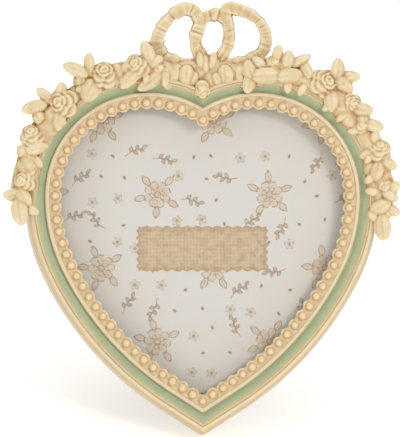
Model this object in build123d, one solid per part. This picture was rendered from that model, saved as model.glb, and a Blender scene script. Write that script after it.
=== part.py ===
from build123d import *
import os
from math import acos, cos, degrees, radians, sin, sqrt, tan
from typing import NamedTuple

# Heart shaped photo frame: a cast moulding with a pearl course, rose sprays and a ribbon bow, glazed in a
# rear rebate, closed by a board on turn buttons and stood on a hinged easel leg.
# Sizes are in millimetres and angles in degrees. The pieces are laid out in the face's own frame, with X to
# the right, Y backwards from the rear of the moulding, Z up the face from the heart's tip, and heights
# counted forwards from the rear. The whole then leans back onto the floor at Z = 0.

# Heart outline: a lobe, a side and a flank arc, then a straight run to the tip
lobe_offset = 19.1
lobe_radius = 44.3
side_radius = 67.0
flank_radius = 117.0
side_turn = 26.3
tip_slope = 32.8

# Moulding section, from the outline inwards
wall_draft = 1.2
wall_height = 8.0
quirk = 0.3
rim_width = 3.7
rim_height = 13.0
fillet_width = 0.5
cove_width = 3.7
cove_height = 8.3
band_width = 1.6
band_height = 11.0
band_batter = 0.3
channel_width = 3.6
channel_depth = 0.6
rebate_width = 3.0

# Pearls in the channel
bead_radius = 1.7
bead_rise = 0.6
bead_pitch = 4.27

# Glass, insert and board in the rebate
glass_thickness = 2.0
insert_thickness = 0.3
board_thickness = 2.7
rebate_clearance = 0.5

# Turn buttons and their screws
button_inset = 5.2
button_reach = 11.0
button_width = 6.4
button_thickness = 0.8
button_upper_angle = 80.0
button_lower_angle = -45.0
screw_radius = 1.2
screw_grip = 6.0
screw_head_radius = 2.6
screw_head_height = 1.5
slot_width = 0.7
slot_depth = 0.6

# Standing pose
lean = 24.0
leg_rake = 8.5
tip_grind = 0.6

# Easel leg and its hinge
hinge_drop = 21.4
leg_gap = 1.6
leg_thickness = 3.0
leg_top_width = 30.0
leg_foot_width = 25.0
leg_corner = 4.0
leg_top_drop = 2.6
pin_radius = 0.9
knuckle_radius = 2.0
knuckle_length = 13.6
bracket_thickness = 0.8
bracket_width = 22.0
bracket_above = 8.5
bracket_below = 3.0
ear_thickness = 0.8
ear_radius = 1.9
pin_head_radius = 1.5
pin_head_length = 0.6
strap_thickness = 0.7
strap_drop = 16.0
rivet_radius = 1.0
rivet_head_radius = 1.8
rivet_head_height = 0.8
rivet_spacing = 9.0

# Stay ribbon and its staples
stay_width = 10.0
stay_thickness = 0.4
stay_tab = 8.0
stay_board_drop = 50.0
stay_leg_drop = 40.0
staple_wire = 0.5
staple_side = 0.6
staple_depth = 1.8

# Fits
seat_fit = 0.02
running_fit = 0.1

# Ornaments
vine_out = 0.9
vine_height = 9.1
vine_radius = 3.6
leaf_height = 11.6
leaf_thickness = 2.3
leaf_edge = 0.7
rose_height = 10.2
ribbon_width = 4.7
ribbon_depth = 3.4
ribbon_edge = 0.9
bow_height = 8.0
knot_radius = 3.4
gather_radius = 8.0
gather_front = 11.0
gather_back = 4.0


class Leaf(NamedTuple):
    """A leaf, from its base on the lobe, with its heading turned from straight outwards."""

    angle: float
    out: float
    length: float
    width: float
    heading: float


class Rose(NamedTuple):
    """A rose or a bud, by its diameter and the place of its centre on the lobe."""

    angle: float
    out: float
    diameter: float


class Spray(NamedTuple):
    """One spray of roses and leaves, on a vine between two angles of the left or right lobe."""

    name: str
    side: int
    start: float
    end: float
    flowers: list


class Loop(NamedTuple):
    """A ribbon loop, by its middle across and above the cusp, its half width and height and its turn."""

    across: float
    above: float
    half_width: float
    half_height: float
    turn: float


sprays = [
    Spray("rose_spray_left_top", -1, 57.0, 99.0, [
        Leaf(62.9, -0.2, 6.8, 6.7, -126), Rose(70.2, 2.3, 10.6), Leaf(64.6, 4.6, 6.7, 3.9, 20),
        Leaf(61.6, 5.0, 7.6, 4.6, -34), Rose(59.2, 3.9, 5.4), Rose(84.1, 2.3, 9.9),
        Leaf(84.3, 0.2, 8.5, 5.0, -129), Leaf(95.4, -0.9, 10.0, 5.0, -134), Leaf(90.6, 3.8, 7.3, 4.6, -22),
        Rose(95.2, 1.1, 5.4), Leaf(97.6, -0.5, 5.2, 3.7, 168),
    ]),
    Spray("rose_spray_left_mid", -1, 26.0, 53.0, [
        Rose(28.4, 2.8, 9.0), Leaf(40.2, 5.4, 7.4, 4.6, -56), Leaf(44.1, 4.0, 6.7, 3.9, -4),
        Rose(36.6, 3.8, 5.2), Rose(46.3, 1.2, 11.4), Leaf(43.7, -0.8, 7.5, 5.0, -126),
    ]),
    Spray("rose_spray_left_low", -1, -4.0, 21.0, [
        Leaf(-3.3, 1.7, 8.0, 5.7, -91), Leaf(0.7, 1.4, 5.9, 4.6, -8), Leaf(1.2, 0.6, 6.2, 5.0, -115),
        Rose(7.0, 0.9, 8.6), Leaf(19.1, -0.2, 7.1, 4.6, -115), Leaf(21.4, 0.1, 6.0, 4.3, 145),
        Rose(19.4, 3.2, 5.2),
    ]),
    Spray("rose_spray_right_top", 1, 66.0, 95.0, [
        Leaf(92.6, -1.8, 6.0, 5.0, 15), Leaf(93.1, -2.1, 6.1, 4.6, 167), Leaf(90.7, -2.0, 9.9, 5.7, -91),
        Rose(82.2, 3.6, 6.2), Leaf(82.1, 5.1, 5.0, 3.6, -7), Leaf(78.4, -1.2, 8.2, 5.3, -77),
        Leaf(74.2, 4.4, 6.9, 3.4, -43), Leaf(77.1, 3.6, 5.1, 4.3, 0),
    ]),
    Spray("rose_spray_right_mid", 1, 31.0, 63.0, [
        Rose(58.4, 3.1, 11.0), Leaf(56.6, 7.0, 6.2, 5.0, 23), Leaf(54.6, 7.3, 7.0, 4.4, -49),
        Leaf(56.0, 6.0, 7.6, 5.0, -97), Leaf(53.9, -0.1, 6.2, 5.3, -141), Rose(43.5, 2.7, 7.8),
        Leaf(41.0, 2.8, 5.9, 4.6, -52), Rose(33.7, 0.8, 5.8), Leaf(33.0, 2.6, 6.0, 4.3, -44),
    ]),
    Spray("rose_spray_right_low", 1, -11.0, 27.0, [
        Rose(22.0, 2.5, 9.0), Leaf(19.8, 0.4, 5.9, 4.3, 175), Leaf(15.8, 1.8, 5.9, 4.3, -42),
        Leaf(14.2, -0.2, 6.3, 4.6, -121), Rose(3.4, 1.4, 6.6), Leaf(1.1, 1.8, 4.6, 3.9, -36),
        Leaf(-3.8, 1.1, 6.5, 5.3, -147), Leaf(-5.1, 1.5, 5.7, 4.3, -15), Leaf(-10.6, 0.7, 7.7, 6.0, -66),
    ]),
]

# Ribbon loops round the cusp, drawn from behind to the front
bow_loops = [
    Loop(3.2, 16.4, 8.9, 10.4, 0.0),
    Loop(-9.5, 17.9, 8.8, 11.8, -14.0),
    Loop(16.2, 17.8, 8.1, 11.9, 12.0),
]
knot_place = (0.3, 6.8)
bow_leaves = [((-4.0, 7.4), 8.4, 4.8, -104.0), ((6.8, 8.0), 8.8, 4.8, -78.0)]
bow_bud = ((-0.4, -1.4), 6.8)

# Heart worked out from the outline
half_turn = 180.0
side_x = lobe_offset + lobe_radius - side_radius
flank_x = side_x - (flank_radius - side_radius) * cos(radians(side_turn))
flank_rise = (flank_radius - side_radius) * sin(radians(side_turn))
flank_end = tip_slope - half_turn / 2
run_x = flank_x + flank_radius * sin(radians(tip_slope))
lobe_z = flank_radius * cos(radians(tip_slope)) + run_x * tan(radians(tip_slope)) - flank_rise
cusp_height = lobe_z + sqrt(lobe_radius**2 - lobe_offset**2)
face_width = rim_width + cove_width + band_width + channel_width
seat_height = glass_thickness + insert_thickness + board_thickness
pane_inset = face_width - rebate_width + rebate_clearance
cut_allowance = 10.0
arcs = [
    ((lobe_offset, lobe_z), lobe_radius),
    ((side_x, lobe_z), side_radius),
    ((flank_x, lobe_z + flank_rise), flank_radius),
]


backwards = Vector(0, 1, 0)
forwards = Vector(0, -1, 0)


def spot(x, z, height=0.0):
    """Point on the face, so far across, so far up and so far in front of the rear."""
    return Vector(x, -height, z)


def arc_spot(arc, inset, angle, height=0.0):
    """Point on one of the heart's arcs, moved inwards, at an angle from the right towards the top."""
    (x, z), radius = arc
    reach = radius - inset
    return spot(x + reach * cos(radians(angle)), z + reach * sin(radians(angle)), height)


def cusp_angle(inset):
    """Angle at the lobe's centre where the inset outline meets the heart's axis."""
    return degrees(acos(-lobe_offset / (lobe_radius - inset)))


def arc_turns(inset):
    """Start and end angle of each arc of the right half, from the cusp down to the straight run."""
    return [(cusp_angle(inset), 0.0), (0.0, -side_turn), (-side_turn, flank_end)]


def heart_plate(inset, height, thickness):
    """Heart shaped plate inside the outline, from a height backwards."""
    edges = []
    for arc, (start, end) in zip(arcs, arc_turns(inset)):
        angles = (start, (start + end) / 2, end)
        edges.append(ThreePointArc(*[arc_spot(arc, inset, angle, height) for angle in angles]))
    tip = spot(0, inset / cos(radians(tip_slope)), height)
    edges.append(Line(edges[-1] @ 1, tip))
    edges += [mirror(edge, about=Plane.YZ) for edge in edges]
    return extrude(make_face(edges), amount=thickness, dir=(0, 1, 0))


def section(plane):
    """Moulding section, across from the outline and up from the rear."""
    crown = rim_width - fillet_width
    cove_end = rim_width + cove_width
    band_end = cove_end + band_width
    floor = band_height - channel_depth
    rim_foot = (wall_draft + quirk, wall_height + quirk)
    rim_side = (wall_draft + 2 * quirk, (wall_height + rim_height) / 2 + quirk)
    rim_end = (crown - quirk, rim_height)
    rim = ThreePointArc(rim_foot, rim_side, rim_end)
    cove_start = (rim_width, rim_height - 2 * quirk)
    cove_foot = (cove_end, cove_height)
    cove = RadiusArc(cove_start, cove_foot, cove_width + fillet_width)
    wall = Polyline((0, 0), (wall_draft, wall_height), rim_foot)
    fillet_line = Polyline(
        rim_end,
        (crown, rim_height - 3 * quirk),
        (crown + quirk / 2, rim_height - quirk),
        (rim_width, rim_height - quirk),
        cove_start,
    )
    band = Polyline(
        cove_foot,
        (cove_end + band_batter, band_height - quirk),
        (cove_end + band_batter + quirk, band_height),
        (band_end, band_height),
        (band_end, floor),
        (face_width - quirk, floor),
        (face_width, floor - quirk),
        (face_width, seat_height),
        (face_width - rebate_width, seat_height),
        (face_width - rebate_width, 0),
        (0, 0),
    )
    return plane * make_face([wall, rim, fillet_line, cove, band])


def section_plane(arc, angle):
    """Plane across the moulding, from the outline inwards and forwards."""
    outward = Vector(cos(radians(angle)), 0, sin(radians(angle)))
    return Plane(arc_spot(arc, 0, angle), x_dir=-outward, z_dir=outward.cross(Vector(0, 1, 0)))


def moulding():
    """Cast heart: the section turned round each arc, run straight to the tip and mirrored."""
    half = []
    turns = arc_turns(face_width)
    turns[0] = (turns[0][0] + cut_allowance, 0.0)
    for arc, (start, end) in zip(arcs, turns):
        axis = Axis(spot(*arc[0]), (0, 1, 0))
        half.append(revolve(section(section_plane(arc, start)), axis, start - end))
    last = section_plane(arcs[-1], flank_end)
    run = run_x / cos(radians(tip_slope)) + cut_allowance
    half.append(extrude(section(last), amount=run, dir=-last.z_dir))
    right = split(half[0] + half[1:], bisect_by=Plane.YZ, keep=Keep.TOP)
    return right + mirror(right, about=Plane.YZ)


def bead_spots():
    """Places of the pearls, evenly along the middle of the channel from the cusp to the tip."""
    inset = face_width - channel_width / 2
    stretches = []
    for arc, (start, end) in zip(arcs, arc_turns(inset)):
        stretches.append((arc, start, radians(start - end) * (arc[1] - inset)))
    run_start = arc_spot(arcs[-1], inset, flank_end)
    tip = spot(0, inset / cos(radians(tip_slope)))
    length = sum(stretch[2] for stretch in stretches) + (tip - run_start).length
    count = round(length / bead_pitch)
    places = [spot(0, arc_spot(arcs[0], inset, cusp_angle(inset)).Z), tip]
    for number in range(1, count):
        left_over = length * number / count
        place = None
        for arc, start, stretch in stretches:
            if place is None and left_over < stretch:
                place = arc_spot(arc, inset, start - degrees(left_over / (arc[1] - inset)))
            left_over -= stretch
        if place is None:
            place = run_start + (tip - run_start).normalized() * left_over
        places += [place, Vector(-place.X, place.Y, place.Z)]
    return places


def beads():
    """Pearls, each a ball with a flat seat on the channel's floor."""
    floor = band_height - channel_depth
    keep = Pos(0, 0, bead_radius) * Box(2 * bead_radius, 2 * bead_radius, 2 * bead_radius)
    bead = (Pos(0, 0, bead_rise) * Sphere(bead_radius)) & keep
    front = Rot(90, 0, 0)
    return Compound([Pos(place.X, -floor, place.Z) * front * bead for place in bead_spots()])


def lobe_plane(angle, out, heading, height):
    """Plane on the face at a place on the left lobe, with its X along a heading and its Z forwards."""
    reach = lobe_radius + out
    x = -lobe_offset - reach * cos(radians(angle))
    z = lobe_z + reach * sin(radians(angle))
    turn = radians(angle + heading)
    return Plane(spot(x, z, height), x_dir=(-cos(turn), 0, sin(turn)), z_dir=forwards)


def leaf(length, width):
    """Pointed leaf along X with a domed top."""
    half = width / 2
    edge = ThreePointArc((0, 0), (length / 2, half), (length, 0))
    blade = extrude(make_face([edge, mirror(edge, about=Plane.XZ)]), amount=leaf_thickness)
    drop = leaf_thickness - leaf_edge
    dome = ((length / 2) ** 2 + drop**2) / (2 * drop)
    return blade & Pos(length / 2, 0, leaf_thickness - dome) * Sphere(dome)


def lens(radius, thickness):
    """Round petal: the common part of two balls."""
    half = thickness / 2
    ball = (radius**2 + half**2) / (2 * half)
    return Pos(0, 0, half - ball) * Sphere(ball) & Pos(0, 0, ball - half) * Sphere(ball)


def rose(diameter):
    """Rose: nested cups round a heart, in a ring of petals."""
    r = diameter / 2
    cups = Polyline(
        (0, 0), (0.55 * r, 0), (0.78 * r, 0.5 * r), (0.6 * r, 0.42 * r), (0.52 * r, 0.74 * r),
        (0.34 * r, 0.56 * r), (0.22 * r, 0.86 * r), (0, 0.9 * r), (0, 0),
    )
    heart = revolve(Plane.XZ * make_face(cups), Axis.Z)
    petal_count = 5
    petal = Pos(0.56 * r, 0, 0.3 * r) * Rot(0, 28, 0) * lens(0.46 * r, 0.42 * r)
    return [heart] + [Rot(0, 0, 360 / petal_count * turn) * petal for turn in range(petal_count)]


def main_body(shape):
    """Largest solid of a shape."""
    return max(shape.solids(), key=lambda solid: solid.volume)


def spray_body(spray, carriers):
    """One spray on the left lobe: vine, roses and leaves cast together, seated on what carries them."""
    centre = spot(-lobe_offset, lobe_z)
    start = lobe_plane(spray.start, vine_out, 0, vine_height)
    across = Plane(start.origin, x_dir=start.x_dir, z_dir=start.x_dir.cross(backwards))
    vine = revolve(across * Circle(vine_radius), Axis(centre, backwards), spray.end - spray.start)
    cast = []
    for flower in spray.flowers:
        if isinstance(flower, Leaf):
            base = lobe_plane(flower.angle, flower.out, flower.heading, leaf_height)
            cast.append(base * leaf(flower.length, flower.width))
        else:
            base = lobe_plane(flower.angle, flower.out, 0, rose_height)
            cast += [base * piece for piece in rose(flower.diameter)]
    return main_body(vine.fuse(*cast).cut(*carriers))


def bow(frame):
    """Ribbon bow: three loops, a knot with two petals, a gathered root and a hanging bud."""
    cusp = arc_spot(arcs[0], 0, cusp_angle(0))

    def above(place, height):
        return spot(place[0], cusp.Z + place[1], height)

    ribbons = []
    for loop in bow_loops:
        middle = above((loop.across, loop.above), bow_height - ribbon_depth / 2)
        plane = Plane(middle, x_dir=(1, 0, 0), z_dir=forwards)
        inner = Ellipse(loop.half_width - ribbon_width, loop.half_height - ribbon_width)
        shape = Ellipse(loop.half_width, loop.half_height) - inner
        ring = extrude(plane * Rot(0, 0, loop.turn) * shape, amount=ribbon_depth)
        ribbons.append(chamfer(ring.edges().filter_by(GeomType.ELLIPSE), ribbon_edge))
    root = extrude(
        Plane(cusp + spot(0, 0, gather_back), x_dir=(1, 0, 0), z_dir=(0, -1, 0)) * Circle(gather_radius),
        amount=gather_front - gather_back,
    )
    knot = Pos(*above(knot_place, bow_height)) * Sphere(knot_radius)
    trims = []
    for base, length, width, heading in bow_leaves:
        turn = (cos(radians(heading)), 0, sin(radians(heading)))
        plane = Plane(above(base, bow_height), x_dir=turn, z_dir=(0, -1, 0))
        trims.append(plane * leaf(length, width))
    place, diameter = bow_bud
    bud_plane = Plane(above(place, gather_front), x_dir=(1, 0, 0), z_dir=(0, -1, 0))
    trims += [bud_plane * piece for piece in rose(diameter)]
    return main_body(root.fuse(knot, *ribbons, *trims).cut(frame))


def block(x_limits, y_limits, z_limits):
    """Box between limits on X, Y and Z."""
    limits = (x_limits, y_limits, z_limits)
    sizes = [high - low for low, high in limits]
    return Pos(*[(low + high) / 2 for low, high in limits]) * Box(*sizes)


def rod(start, direction, radius, length):
    """Round bar from a point along a direction."""
    return extrude(Plane(start, z_dir=direction) * Circle(radius), amount=length)


def button_places():
    """Pivot and inward direction of each turn button, by its name."""
    places = {}
    for level, arc, angle in (
        ("upper", arcs[0], button_upper_angle),
        ("lower", arcs[-1], button_lower_angle),
    ):
        pivot = arc_spot(arc, button_inset, angle)
        inward = Vector(-cos(radians(angle)), 0, -sin(radians(angle)))
        places[f"turn_button_{level}_right"] = (pivot, inward)
        places[f"turn_button_{level}_left"] = (Vector(-pivot.X, 0, pivot.Z), Vector(-inward.X, 0, inward.Z))
    return places


def turn_button(pivot, inward):
    """Flat clip with round ends, turning on its screw and reaching over the board."""
    plane = Plane(pivot + backwards * (running_fit / 2), x_dir=inward, z_dir=backwards)
    middle = (button_reach - button_width / 2) / 2
    shape = Pos(middle, 0) * SlotCenterToCenter(2 * middle, button_width)
    shape -= Circle(screw_radius + running_fit)
    return extrude(plane * shape, amount=button_thickness)


def button_screw(pivot, inward):
    """Slotted screw with its head just clear of the turn button."""
    seat = button_thickness + running_fit
    top = seat + screw_head_height
    head = rod(pivot + backwards * seat, backwards, screw_head_radius, screw_head_height)
    shank = rod(pivot + backwards * seat, forwards, screw_radius, seat + screw_grip)
    plane = Plane(pivot + backwards * top, x_dir=inward, z_dir=forwards)
    slot = extrude(plane * Rectangle(2 * screw_head_radius, slot_width), amount=slot_depth)
    return head + shank - slot


def screw_hole(pivot):
    """Blind hole that a turn button's screw is driven into."""
    return rod(pivot, forwards, screw_radius + seat_fit, screw_grip)


def staple(centre, into):
    """Wire staple astride the ribbon, with its legs driven in along a direction."""
    out = -into
    inner = stay_width / 2 + seat_fit
    outer = inner + staple_wire
    lift = stay_thickness + staple_wire
    z_limits = (centre.Z - staple_side / 2, centre.Z + staple_side / 2)
    over = sorted((centre.Y + out.Y * stay_thickness, centre.Y + out.Y * lift))
    down = sorted((centre.Y + out.Y * lift, centre.Y + into.Y * staple_depth))
    crown = block((-outer, outer), over, z_limits)
    return crown + [block((-outer, -inner), down, z_limits), block((inner, outer), down, z_limits)]


def rivet(head_seat, through, side):
    """Round-headed rivet, its tail flush with the far face."""
    start = spot(side * rivet_spacing / 2, head_seat.Z) + backwards * head_seat.Y
    head = rod(start, backwards, rivet_head_radius, rivet_head_height)
    return head + rod(start, forwards, rivet_radius, through)


def rivet_hole(head_seat, through, side):
    """Hole for one rivet."""
    start = spot(side * rivet_spacing / 2, head_seat.Z) + backwards * head_seat.Y
    return rod(start, forwards, rivet_radius + seat_fit, through)


# Hinge places, with the leg folded flat against the board
hinge_height = cusp_height - hinge_drop
pin_y = leg_gap + leg_thickness / 2 + running_fit
pin = Vector(0, pin_y, hinge_height)
leg_rear = leg_gap + leg_thickness
strap_rear = leg_rear + strap_thickness
open_angle = lean + leg_rake
ear_inner = knuckle_length / 2 + running_fit
ear_outer = ear_inner + ear_thickness
bracket_seat = Vector(0, bracket_thickness, hinge_height + ear_radius + (bracket_above - ear_radius) / 2)
bracket_grip = bracket_thickness + board_thickness
strap_seat = Vector(0, strap_rear, hinge_height - leg_top_drop - (strap_drop - leg_top_drop) / 2)
strap_grip = strap_thickness + leg_thickness
board_staple_spot = Vector(0, 0, hinge_height - stay_board_drop - stay_tab / 2)
leg_staple_spot = Vector(0, leg_gap, hinge_height - stay_leg_drop - stay_tab / 2)
pin_rise = hinge_height * cos(radians(lean)) - pin_y * sin(radians(lean))
leg_reach = pin_rise / cos(radians(leg_rake)) + cut_allowance

swing = Pos(*pin) * Rot(open_angle, 0, 0) * Pos(*-pin)


def easel_leg():
    """Leg, tapered to its foot, with holes for its rivets and staple."""
    top = hinge_height - leg_top_drop
    foot = hinge_height - leg_reach
    half_top = leg_top_width / 2
    half_foot = leg_foot_width / 2
    outline = Polyline(
        spot(-half_top, top), spot(half_top, top), spot(half_foot, foot), spot(-half_foot, foot), close=True
    )
    plate = Pos(0, leg_gap, 0) * extrude(make_face(outline), amount=leg_thickness, dir=backwards)
    corners = plate.edges().filter_by(Axis.Y).sort_by(Axis.Z)[-2:]
    plate = fillet(corners, leg_corner)
    for side in (-1, 1):
        plate -= rivet_hole(strap_seat, strap_grip, side)
    return plate - staple(leg_staple_spot, backwards)


def hinge_bracket():
    """Plate on the board with two ears that hold the pin."""
    plate = block(
        (-bracket_width / 2, bracket_width / 2),
        (0, bracket_thickness),
        (hinge_height - bracket_below, hinge_height + bracket_above),
    )
    for side in (-1, 1):
        x_limits = sorted((side * ear_inner, side * ear_outer))
        stem = block(x_limits, (0, pin_y), (hinge_height - ear_radius, hinge_height + ear_radius))
        eye = rod(Vector(x_limits[0], pin_y, hinge_height), (1, 0, 0), ear_radius, ear_thickness)
        plate += [stem, eye]
        plate -= rivet_hole(bracket_seat, bracket_grip, side)
    return plate - rod(pin - Vector(ear_outer, 0, 0), (1, 0, 0), pin_radius + seat_fit, 2 * ear_outer)


def hinge_strap():
    """Strap rolled round the pin and riveted down the rear of the leg."""
    half = knuckle_length / 2
    start = pin - Vector(half, 0, 0)
    knuckle = rod(start, (1, 0, 0), knuckle_radius, knuckle_length)
    plate = block((-half, half), (leg_rear, strap_rear), (hinge_height - strap_drop, hinge_height))
    strap = knuckle + plate - rod(start, (1, 0, 0), pin_radius + running_fit, knuckle_length)
    for side in (-1, 1):
        strap -= rivet_hole(strap_seat, strap_grip, side)
    return strap


def hinge_pin():
    """Pin with a round head at each end."""
    start = pin - Vector(ear_outer, 0, 0)
    bar = rod(start, (1, 0, 0), pin_radius, 2 * ear_outer)
    heads = [
        rod(start, (-1, 0, 0), pin_head_radius, pin_head_length),
        rod(pin + Vector(ear_outer, 0, 0), (1, 0, 0), pin_head_radius, pin_head_length),
    ]
    return bar + heads


def stay_ribbon():
    """Taut ribbon from the board to the open leg, with a tab on each."""
    half = stay_thickness / 2
    board_end = hinge_height - stay_board_drop
    leg_end = hinge_height - stay_leg_drop
    on_leg = [swing * Pos(0, leg_gap - half, z) for z in (leg_end, leg_end - stay_tab)]
    route = [Vector(0, half, board_end - stay_tab), Vector(0, half, board_end)]
    route += [place.position for place in on_leg]
    side_plane = Plane((-stay_width / 2, 0, 0), x_dir=(0, 1, 0), z_dir=(1, 0, 0))
    line = Polyline(*[(place.Y, place.Z) for place in route])
    return extrude(side_plane * trace(line, stay_thickness), amount=stay_width)


def face_pieces():
    """Pieces fixed to the frame, in the face's own frame."""
    buttons = button_places()
    heart = moulding()
    pieces = {"ribbon_bow": bow(heart)}
    carriers = {-1: pieces["ribbon_bow"], 1: mirror(pieces["ribbon_bow"], about=Plane.YZ)}
    for spray in sprays:
        body = spray_body(spray, [heart, carriers[spray.side]])
        carriers[spray.side] = body
        pieces[spray.name] = body if spray.side < 0 else mirror(body, about=Plane.YZ)
    pieces["heart_moulding"] = heart - [screw_hole(pivot) for pivot, inward in buttons.values()]
    pieces["bead_course"] = beads()
    pieces["glass_pane"] = heart_plate(pane_inset, seat_height, glass_thickness)
    pieces["picture_insert"] = heart_plate(pane_inset, seat_height - glass_thickness, insert_thickness)
    board = heart_plate(pane_inset, board_thickness, board_thickness)
    board -= [rivet_hole(bracket_seat, bracket_grip, side) for side in (-1, 1)]
    pieces["back_board"] = board - staple(board_staple_spot, forwards)
    pieces["turn_button_screws"] = Compound([button_screw(*place) for place in buttons.values()])
    for name, place in buttons.items():
        pieces[name] = turn_button(*place)
    pieces["hinge_bracket"] = hinge_bracket()
    pieces["hinge_pin"] = hinge_pin()
    pieces["bracket_rivets"] = Compound([rivet(bracket_seat, bracket_grip, s) for s in (-1, 1)])
    pieces["stay_ribbon"] = stay_ribbon()
    pieces["stay_staple_board"] = staple(board_staple_spot, forwards)
    return pieces


def leg_pieces():
    """Pieces that swing with the leg, folded flat in the face's own frame."""
    return {
        "easel_leg": easel_leg(),
        "hinge_strap": hinge_strap(),
        "strap_rivets": Compound([rivet(strap_seat, strap_grip, side) for side in (-1, 1)]),
        "stay_staple_leg": staple(leg_staple_spot, backwards),
    }


def stand(pieces):
    """Lean every piece back onto the floor, ground flat where it touches, about the middle of its depth."""
    tilt = Pos(0, 0, -tip_grind) * Rot(-lean, 0, 0)
    leaning = {name: tilt * piece for name, piece in pieces.items()}
    limits = [piece.bounding_box() for piece in leaning.values()]
    middle = (min(box.min.Y for box in limits) + max(box.max.Y for box in limits)) / 2
    shift = Pos(0, -middle, 0)
    depth = leg_reach + cut_allowance
    floor = Pos(0, 0, -depth / 2) * Box(4 * depth, 4 * depth, depth)
    standing = {name: shift * piece for name, piece in leaning.items()}
    for name in ("heart_moulding", "easel_leg"):
        standing[name] = standing[name] - floor
    return standing, shift * tilt


def main():
    """Build, stand and write every piece, and print the places of the joints."""
    pieces = face_pieces()
    pieces.update({name: swing * piece for name, piece in leg_pieces().items()})
    standing, pose = stand(pieces)
    os.makedirs("parts", exist_ok=True)
    for name, piece in standing.items():
        export_step(piece, f"parts/{name}.step")
    normal = (pose * Pos(*backwards)).position - pose.position
    print("face normal", normal)
    print("leg pivot", (pose * Pos(*pin)).position, "opens by", open_angle)
    for name, (pivot, inward) in button_places().items():
        print(name, (pose * Pos(*pivot)).position)


if __name__ == "__main__":
    main()
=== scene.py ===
"""Dressed model of a heart shaped photo frame in cast and painted resin.

Lengths are in millimetres on the frame's own face: x to the right, d forwards from the rear of the
moulding, z up from the tip of the heart. FacePlane carries them to the standing pose in metres,
where the CAD model has its parts.
"""

import logging
import math
from dataclasses import dataclass, field
from enum import Enum
from typing import Any, Iterable, Optional

import bpy
import numpy as np
from mathutils import Matrix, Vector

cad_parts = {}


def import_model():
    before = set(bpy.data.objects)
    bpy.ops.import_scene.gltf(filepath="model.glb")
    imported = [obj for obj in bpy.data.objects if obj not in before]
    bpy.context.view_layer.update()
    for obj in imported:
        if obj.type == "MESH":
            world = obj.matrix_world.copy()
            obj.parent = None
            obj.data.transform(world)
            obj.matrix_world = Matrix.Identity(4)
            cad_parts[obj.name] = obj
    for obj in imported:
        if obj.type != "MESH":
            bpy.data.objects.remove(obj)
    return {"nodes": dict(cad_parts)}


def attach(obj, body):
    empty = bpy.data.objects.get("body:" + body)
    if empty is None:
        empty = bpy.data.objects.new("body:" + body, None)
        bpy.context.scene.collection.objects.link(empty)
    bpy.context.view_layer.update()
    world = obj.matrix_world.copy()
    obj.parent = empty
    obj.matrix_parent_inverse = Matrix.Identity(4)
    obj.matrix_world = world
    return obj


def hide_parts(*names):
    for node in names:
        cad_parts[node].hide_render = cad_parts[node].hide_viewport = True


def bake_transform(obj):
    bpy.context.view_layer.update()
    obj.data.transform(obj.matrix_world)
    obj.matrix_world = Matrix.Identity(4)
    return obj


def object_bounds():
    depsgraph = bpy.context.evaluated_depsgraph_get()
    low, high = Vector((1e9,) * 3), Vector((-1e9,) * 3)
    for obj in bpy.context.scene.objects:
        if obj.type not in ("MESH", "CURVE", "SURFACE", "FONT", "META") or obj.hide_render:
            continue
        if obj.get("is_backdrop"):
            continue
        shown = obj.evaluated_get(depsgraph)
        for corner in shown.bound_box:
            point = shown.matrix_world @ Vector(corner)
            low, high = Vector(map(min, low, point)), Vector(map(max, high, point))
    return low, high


Array = np.ndarray
Points = tuple[tuple[float, float], ...]
Stops = tuple[tuple[float, str], ...]
log = logging.getLogger("photo_frame")


class Slot(Enum):
    """Material slots of the record; no piece here is given one."""

    PAINTED = "painted_resin"
    PEARL = "pearl_resin"
    PAPER = "printed_paper"
    RIBBON = "satin_ribbon"


class Body(Enum):
    """Moving bodies of the record that new pieces ride on."""

    FRAME = "frame"
    LEG = "leg"


class Motif(Enum):
    """Drawings that the paper insert repeats."""

    BLOOM = "bloom"
    SPRIG = "sprig"
    BLOSSOM = "blossom"
    SEED = "seed"


# Meshes


@dataclass(frozen=True)
class FacePlane:
    """The plane of the frame's face, leaning back on its tip and its leg."""

    lean: float = 24.0
    set_back: float = 25.9184
    ground_off: float = 0.6

    def stand(self, points: Array) -> Array:
        """Turn places on the face to the standing pose.

        The face turns about X by its lean and moves by its set back; what the tip has below the floor
        is ground flat.

        Args:
            points: places (..., 3) as x, d and z in millimetres.

        Returns:
            The same places in the row frame, in metres.
        """
        turn = math.radians(self.lean)
        x, d, z = np.moveaxis(np.asarray(points, float), -1, 0)
        y = z * math.sin(turn) - d * math.cos(turn) - self.set_back
        up = z * math.cos(turn) + d * math.sin(turn) - self.ground_off
        return np.stack([x, y, np.maximum(up, 0.0)], axis=-1) / 1000.0


FACE = FacePlane()


@dataclass
class Shell:
    """A closed skin: its points (n, 3) and its faces, as rows of three or four point numbers."""

    points: Array
    quads: Array
    triangles: Array

    def volume(self) -> float:
        """Signed volume: a sixth of the sum, over all triangles, of the boxes that their corners span.

        Returns:
            The volume, above zero where the faces point outwards.
        """
        split = np.concatenate([self.quads[:, [0, 1, 2]], self.quads[:, [0, 2, 3]], self.triangles])
        a, b, c = (self.points[split[:, k]] for k in range(3))
        return float(np.einsum("ij,ij->i", a, np.cross(b, c)).sum() / 6.0)

    def outwards(self) -> "Shell":
        """The same skin with its faces turned outwards.

        Returns:
            This skin, or a turned copy of it.
        """
        if self.volume() >= 0:
            return self
        return Shell(self.points, self.quads[:, ::-1], self.triangles[:, ::-1])

    def faces(self) -> list[list[int]]:
        """All faces as lists of point numbers."""
        return self.quads.tolist() + self.triangles.tolist()


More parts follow.
